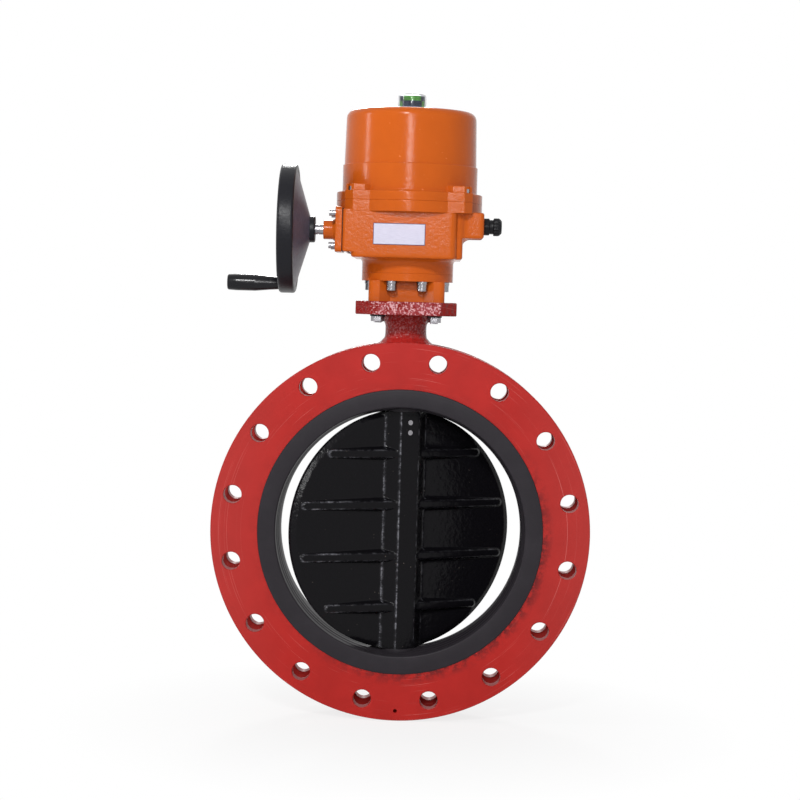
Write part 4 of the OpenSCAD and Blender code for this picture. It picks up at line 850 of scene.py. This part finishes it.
def gland_form():
    """Cable gland: a hexagon at the wall, a waist and a ribbed cap nut with a round end, open for the cable."""
    left, right = (v[0] for v in span("cable_gland"))
    hexagon = outline(15 * np.stack([np.cos(circle(6)), np.sin(circle(6))], -1), 1.5)
    a = directions(144, hexagon)
    hexed = np.minimum(reach(hexagon, a), 14.0)
    ribbed = 13.55 + 0.4 * np.tanh(3 * np.cos(18 * a))
    levels = stack(a, (left, 5.05), (left, 10), (117.5, 10), (117.5, hexed), (126.2, hexed), (126.2, 11.2),
                   (132.6, 11.2), (132.6, ribbed), (right - 4, ribbed), (right, 9.5), (right, 5.05))
    path = rounded(levels, [0, 0.5, 0.2, 0.8, 1.2, 0.6, 0.6, 1, 5, 2.5, 0])
    return Form().add(turned(path, a, CABLE, "x"), loop=True)


# ---------- sizes and colours ----------

def length(name, mm, description):
    """A length in Blender's own unit, given here in millimetres."""
    return bpy.props.FloatProperty(
        name=name, description=description, default=mm * MM, min=0.0, unit="LENGTH", precision=4)


def colour(name, code, description):
    """A colour, given here as an sRGB hex value."""
    return bpy.props.FloatVectorProperty(
        name=name, description=description, default=linear(code)[:3], size=3, min=0.0, max=1.0, subtype="COLOR")


class ValveSizes(bpy.types.PropertyGroup):
    """Sizes of the pieces that are built over the frame."""
    flange_d: length("Flange diameter", BODY[1][0] * 2, "Outer diameter of both flanges")
    flange_t: length("Flange thickness", 26, "Thickness of each flange")
    rim_round: length("Flange edge", 2, "Rounding of the flanges' edges")
    bolt_circle: length("Bolt circle", 539.8, "Diameter of the circle that the flange holes lie on")
    hole_d: length("Flange hole", 28.6, "Diameter of the flange holes")
    bolt_count: bpy.props.IntProperty(
        name="Flange holes", description="Number of holes in each flange", default=16, min=4, max=32)
    disc_d: length("Disc diameter", 381.2, "Diameter of the disc's sealing edge")
    disc_blend: length("Disc fillet", 1.3, "How softly ribs and boss run into the plate")
    disc_angle: bpy.props.FloatProperty(
        name="Disc angle", description="Angle from shut at which the disc stands at rest",
        default=math.radians(26), subtype="ANGLE")
    cast_edge: length("Cast edge", 1.0, "Rounding of the smaller castings' edges")
    fitting_edge: length("Fitting edge", 0.4, "Rounding of screws, nuts and washers")


class ValveColours(bpy.types.PropertyGroup):
    """Colours of the finishes that set the look."""
    red: colour("Red enamel", "AE2824", "Body casting")
    orange: colour("Orange enamel", "C45A18", "Drive housing, cover and spool")
    rubber: colour("Rubber", "2A272B", "Seat liner")
    disc: colour("Black coating", "0E0D10", "Disc")
    wheel: colour("Black enamel", "17171C", "Handwheel")


def sizes(context):
    """Every size, its lengths turned to millimetres."""
    group, made = context.scene.valve_sizes, SimpleNamespace()
    for key, kind in group.bl_rna.properties.items():
        if key not in ("rna_type", "name"):
            value = getattr(group, key)
            setattr(made, key, value / MM if kind.unit == "LENGTH" else value)
    return made


# ---------- operators ----------

class BuildValveFinishes(bpy.types.Operator):
    """Makes the materials"""
    bl_idname = "valve.finishes"
    bl_label = "Finishes"

    def execute(self, context):
        make_finishes(context.scene.valve_colours)
        return {"FINISHED"}


class BuildBodyCasting(bpy.types.Operator):
    """Builds the flanged body with its neck, drive plate and trunnion"""
    bl_idname = "valve.body_casting"
    bl_label = "Body casting"

    def execute(self, context):
        s = sizes(context)
        made = loose(flanges_and_barrel(s), "body_casting")
        combine(made, "UNION", neck_casting(), trunnion())
        bores = shaft_cutter(BODY_BORE, 190, BODY[1][2] + 1), shaft_cutter(BODY_BORE, -270, -190)
        combine(made, "DIFFERENCE", flange_holes(s), *bores)
        settle(made, "valve", "red_paint", ["valve_body"], weighted=True)
        return {"FINISHED"}


class BuildSeat(bpy.types.Operator):
    """Builds the rubber seat liner"""
    bl_idname = "valve.seat"
    bl_label = "Seat liner"

    def execute(self, context):
        made = loose(seat_form(), "rubber_seat")
        combine(made, "UNION", seat_pads())
        combine(made, "DIFFERENCE", shaft_cutter(SEAT_BORE, 150, 230), shaft_cutter(SEAT_BORE, -230, -150))
        settle(made, "valve", "seat_rubber", ["seat_liner"], sharp=40)
        # A torn strip of moulding flash lies on the lip, low on the right.
        at = [np.array(under_point(made, x, y)) / MM for x, y in FLASH]
        settle(loose(strip_form(np.array(at)), "moulding_flash"), "valve", "seat_rubber", sharp=60)
        return {"FINISHED"}


class BuildDisc(bpy.types.Operator):
    """Builds the ribbed disc"""
    bl_idname = "valve.disc"
    bl_label = "Disc"

    def execute(self, context):
        made = loose(disc_form(sizes(context)), "ribbed_disc")
        paint_crest_highlights(made, sizes(context))
        settle(made, "disc_train", "disc_coating", ["disc"], sharp=45)
        return {"FINISHED"}


class BuildDrive(bpy.types.Operator):
    """Builds the gear housing, the cover, the indicator dome and the cable gland"""
    bl_idname = "valve.drive"
    bl_label = "Drive"

    def execute(self, context):
        housing = loose(housing_form(), "gear_case")
        combine(housing, "DIFFERENCE", *housing_space())
        settle(housing, "valve", "orange_paint", ["gear_housing"], weighted=True)
        cover = loose(cover_form(), "drive_cover")
        bores, slots = lug_pockets()
        combine(cover, "DIFFERENCE", bores, slots, shaft_cutter(5.3, COVER_TOP - 7, COVER_TOP + 1, count=32))
        settle(cover, "valve", "orange_paint", ["cover"], weighted=True)
        settle(loose(dome_form(), "clear_dome"), "valve", "clear_plastic", ["indicator_dome"])
        settle(loose(gland_form(), "gland"), "valve", "gland_plastic", ["cable_gland"])
        return {"FINISHED"}


class BuildHandwheel(bpy.types.Operator):
    """Builds the handwheel and its turning handle"""
    bl_idname = "valve.handwheel"
    bl_label = "Handwheel"

    def execute(self, context):
        settle(loose(handwheel_form(), "dished_handwheel"), "worm_train", "black_paint", ["handwheel"])
        settle(loose(grip_form(), "turning_handle"), "grip", "black_plastic", ["handle_grip"])
        return {"FINISHED"}


class DressFittings(bpy.types.Operator):
    """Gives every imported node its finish, and rounds the edges of those that show"""
    bl_idname = "valve.fittings"
    bl_label = "Fittings"

    def execute(self, context):
        s = sizes(context)
        for part in frame["record"]["subparts"]:
            node = frame["nodes"][part["node"]]
            for place in node.material_slots:
                place.material = FINISHES[part["material_slot"]]
        edges = {"mounting_spool": s.cast_edge, "side_cover": s.cast_edge, "nameplate": 0.3, "disc_pins": 1.2}
        for name in (*edges, "handwheel_nut", "side_cover_screws", "spool_screws", "spool_screw_washers", "plate_nuts",
                     "plate_washers", "plate_studs", "cover_screws", "worm_shaft"):
            node = frame["nodes"][name]
            node.modifiers.new("close the seams", "WELD").merge_threshold = 2e-6
            bevel = node.modifiers.new("round the edges", "BEVEL")
            bevel.width, bevel.segments = edges.get(name, s.fitting_edge) * MM, 2
            bevel.limit_method, bevel.angle_limit = "ANGLE", math.radians(35)
            node.modifiers.new("flat faces stay flat", "WEIGHTED_NORMAL")
        return {"FINISHED"}


class BuildStage(bpy.types.Operator):
    """Makes the floor, the soft studio light and the camera"""
    bl_idname = "valve.stage"
    bl_label = "Stage"

    def execute(self, context):
        scene = context.scene
        level = BODY[0][2] - 0.4
        floor = loose(Form().add(turned([(0, level), (4000, level), (9000, level)], circle(48))), "floor")
        floor.data.flip_normals()
        floor.data.materials.append(self.pale_floor())
        floor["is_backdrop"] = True
        self.sky(scene)
        # Soft boxes: size across and up in metres, watts, place and the point that each faces.
        for name, wide, high, watts, at, to in (
            ("high_box", 0.42, 0.42, 76, (-0.6, -3.2, 2.15), (0, 0, 0.35)),
            ("front_box", 0.42, 0.8, 33, (-0.05, -3.4, 1.12), (-0.05, 0, 1.12)),
            ("left_strip", 0.14, 1.5, 24, (-2.9, -0.45, 0.9), (0, 0.05, 0.35)),
            ("back_box", 0.7, 0.7, 60, (-0.25, 3.4, 1.9), (0, 0.1, 0.3)),
        ):
            lamp = bpy.data.lights.new(name, "AREA")
            lamp.shape, lamp.size, lamp.size_y, lamp.energy = "RECTANGLE", wide, high, watts
            holder = bpy.data.objects.new(name, lamp)
            holder.location = at
            holder.rotation_euler = (Vector(to) - Vector(at)).to_track_quat("-Z", "Y").to_euler()
            scene.collection.objects.link(holder)
        lens = bpy.data.cameras.new("photo_camera")
        lens.lens, lens.sensor_width, lens.sensor_fit = CAMERA_LENS, SENSOR, "AUTO"
        lens.clip_start, lens.clip_end = 0.05, 60.0
        camera = bpy.data.objects.new("photo_camera", lens)
        right, up, forward = camera_axes()
        camera.matrix_world = Matrix.Translation(CAMERA_AT) @ Matrix((right, up, -forward)).transposed().to_4x4()
        scene.collection.objects.link(camera)
        scene.camera = camera
        scene.view_settings.view_transform = "Standard"
        return {"FINISHED"}

    def pale_floor(self):
        """Plain pale paper floor: it takes the object's shadow and fades into the white background."""
        made, node, place = begin("pale_paper_floor")
        paper = node("BsdfPrincipled", {"Base Color": (0.8, 0.8, 0.8, 1), "Roughness": 0.9, "Specular IOR Level": 0.1})
        away = node("MapRange", [node("VectorMath", [place], operation="LENGTH"), 0.28, 0.62, 0.78, 1.0])
        fade = node("Math", [self.seen(node), away], operation="MULTIPLY")
        white = node("Emission", [(1, 1, 1, 1), 1.0])
        node("OutputMaterial", [node("MixShader", [fade, paper, white])])
        return made

    def seen(self, node):
        """One for rays that show the background: from the camera, from gloss and through glass."""
        path = node("LightPath").outputs
        bent = node("Math", [path["Is Glossy Ray"], path["Is Transmission Ray"]], operation="MAXIMUM")
        return node("Math", [path["Is Camera Ray"], bent], operation="MAXIMUM")

    def sky(self, scene):
        """Even studio surround: plain white to the camera, to gloss and through glass, and a softer level as light."""
        world = bpy.data.worlds.new("studio")
        scene.world = world
        world.use_nodes = True
        world.node_tree.nodes.clear()
        node = partial(add, world.node_tree)
        light, white = (node("Background", [(1, 1, 1, 1), level]) for level in (0.24, 1.0))
        node("OutputWorld", [node("MixShader", [self.seen(node), light, white])])


class ValvePanel(bpy.types.Panel):
    """Lists what the valve is made of, with its sizes and colours"""
    bl_idname = "VIEW3D_PT_valve"
    bl_label = "Butterfly valve"
    bl_space_type = "VIEW_3D"
    bl_region_type = "UI"
    bl_category = "Valve"

    def draw(self, context):
        for step in STEPS:
            self.layout.operator(step.bl_idname)
        for group in (context.scene.valve_sizes, context.scene.valve_colours):
            box = self.layout.box()
            for key in group.bl_rna.properties.keys():
                if key not in ("rna_type", "name"):
                    box.prop(group, key)


STEPS = (BuildValveFinishes, BuildStage, BuildBodyCasting, BuildSeat, BuildDisc, BuildDrive, BuildHandwheel,
         DressFittings)
CLASSES = (ValveSizes, ValveColours, *STEPS, ValvePanel)


def register():
    for made in CLASSES:
        bpy.utils.register_class(made)
    bpy.types.Scene.valve_sizes = bpy.props.PointerProperty(type=ValveSizes)
    bpy.types.Scene.valve_colours = bpy.props.PointerProperty(type=ValveColours)


def unregister():
    del bpy.types.Scene.valve_colours, bpy.types.Scene.valve_sizes
    for made in reversed(CLASSES):
        bpy.utils.unregister_class(made)


def compare_points():
    """Works out how far each thing shows from its image point: the outline from the finished vertices that show,
    the features from the middle of what carries them."""
    graph = bpy.context.evaluated_depsgraph_get()
    seen = np.concatenate([in_photo(vertices(piece.evaluated_get(graph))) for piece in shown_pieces()])
    found = {"left": seen[:, 0].min(), "right": seen[:, 0].max(), "top": seen[:, 1].min(), "bottom": seen[:, 1].max()}
    rows = {name: {"off": round(float(found[name] - EDGES[name]), 2)} for name in EDGES}

    def shown(name, across, down, keep=lambda x, y, z: x == x):
        """Image place of a node or piece: one number each picked from the x and the y of its vertices that are kept."""
        co = vertices(bpy.data.objects[name].evaluated_get(graph))
        x, y = in_photo(co[keep(*co.T)]).T
        return across(x), down(y)

    def middle(v):
        return (v.min() + v.max()) / 2

    places = {
        "upper_pin": shown("disc_pins", np.mean, np.mean, lambda x, y, z: (y < 0.03) & (z > 0.164) & (z < 0.18)),
        "lower_pin": shown("disc_pins", np.mean, np.mean, lambda x, y, z: (y < 0.03) & (z > 0.15) & (z < 0.163)),
        "nameplate": shown("nameplate", middle, middle),
        "moulding_flash": shown("moulding_flash", middle, middle),
        "handwheel_left": shown("dished_handwheel", np.min, np.mean),
        "grip_end": shown("turning_handle", np.min, np.mean),
        "gland_end": shown("gland", np.max, np.mean),
        "dome_top": shown("clear_dome", np.mean, np.min),
        "drive_plate_left": shown(
            "body_casting", np.min, middle, lambda x, y, z: (z > (BODY[1][2] - PLATE_T - 0.5) * MM) & (x < -0.078)),
    }
    for name, (point, at) in FEATURES.items():
        place = in_photo(np.array(at) * MM) if at else places[name]
        rows[name] = {"off": [round(float(v), 2) for v in np.asarray(place) - np.array(point)]}


def main():
    register()
    for step in STEPS:
        group, name = step.bl_idname.split(".")
        getattr(getattr(bpy.ops, group), name)()
    compare_points()


if __name__ == "__main__":
    main()
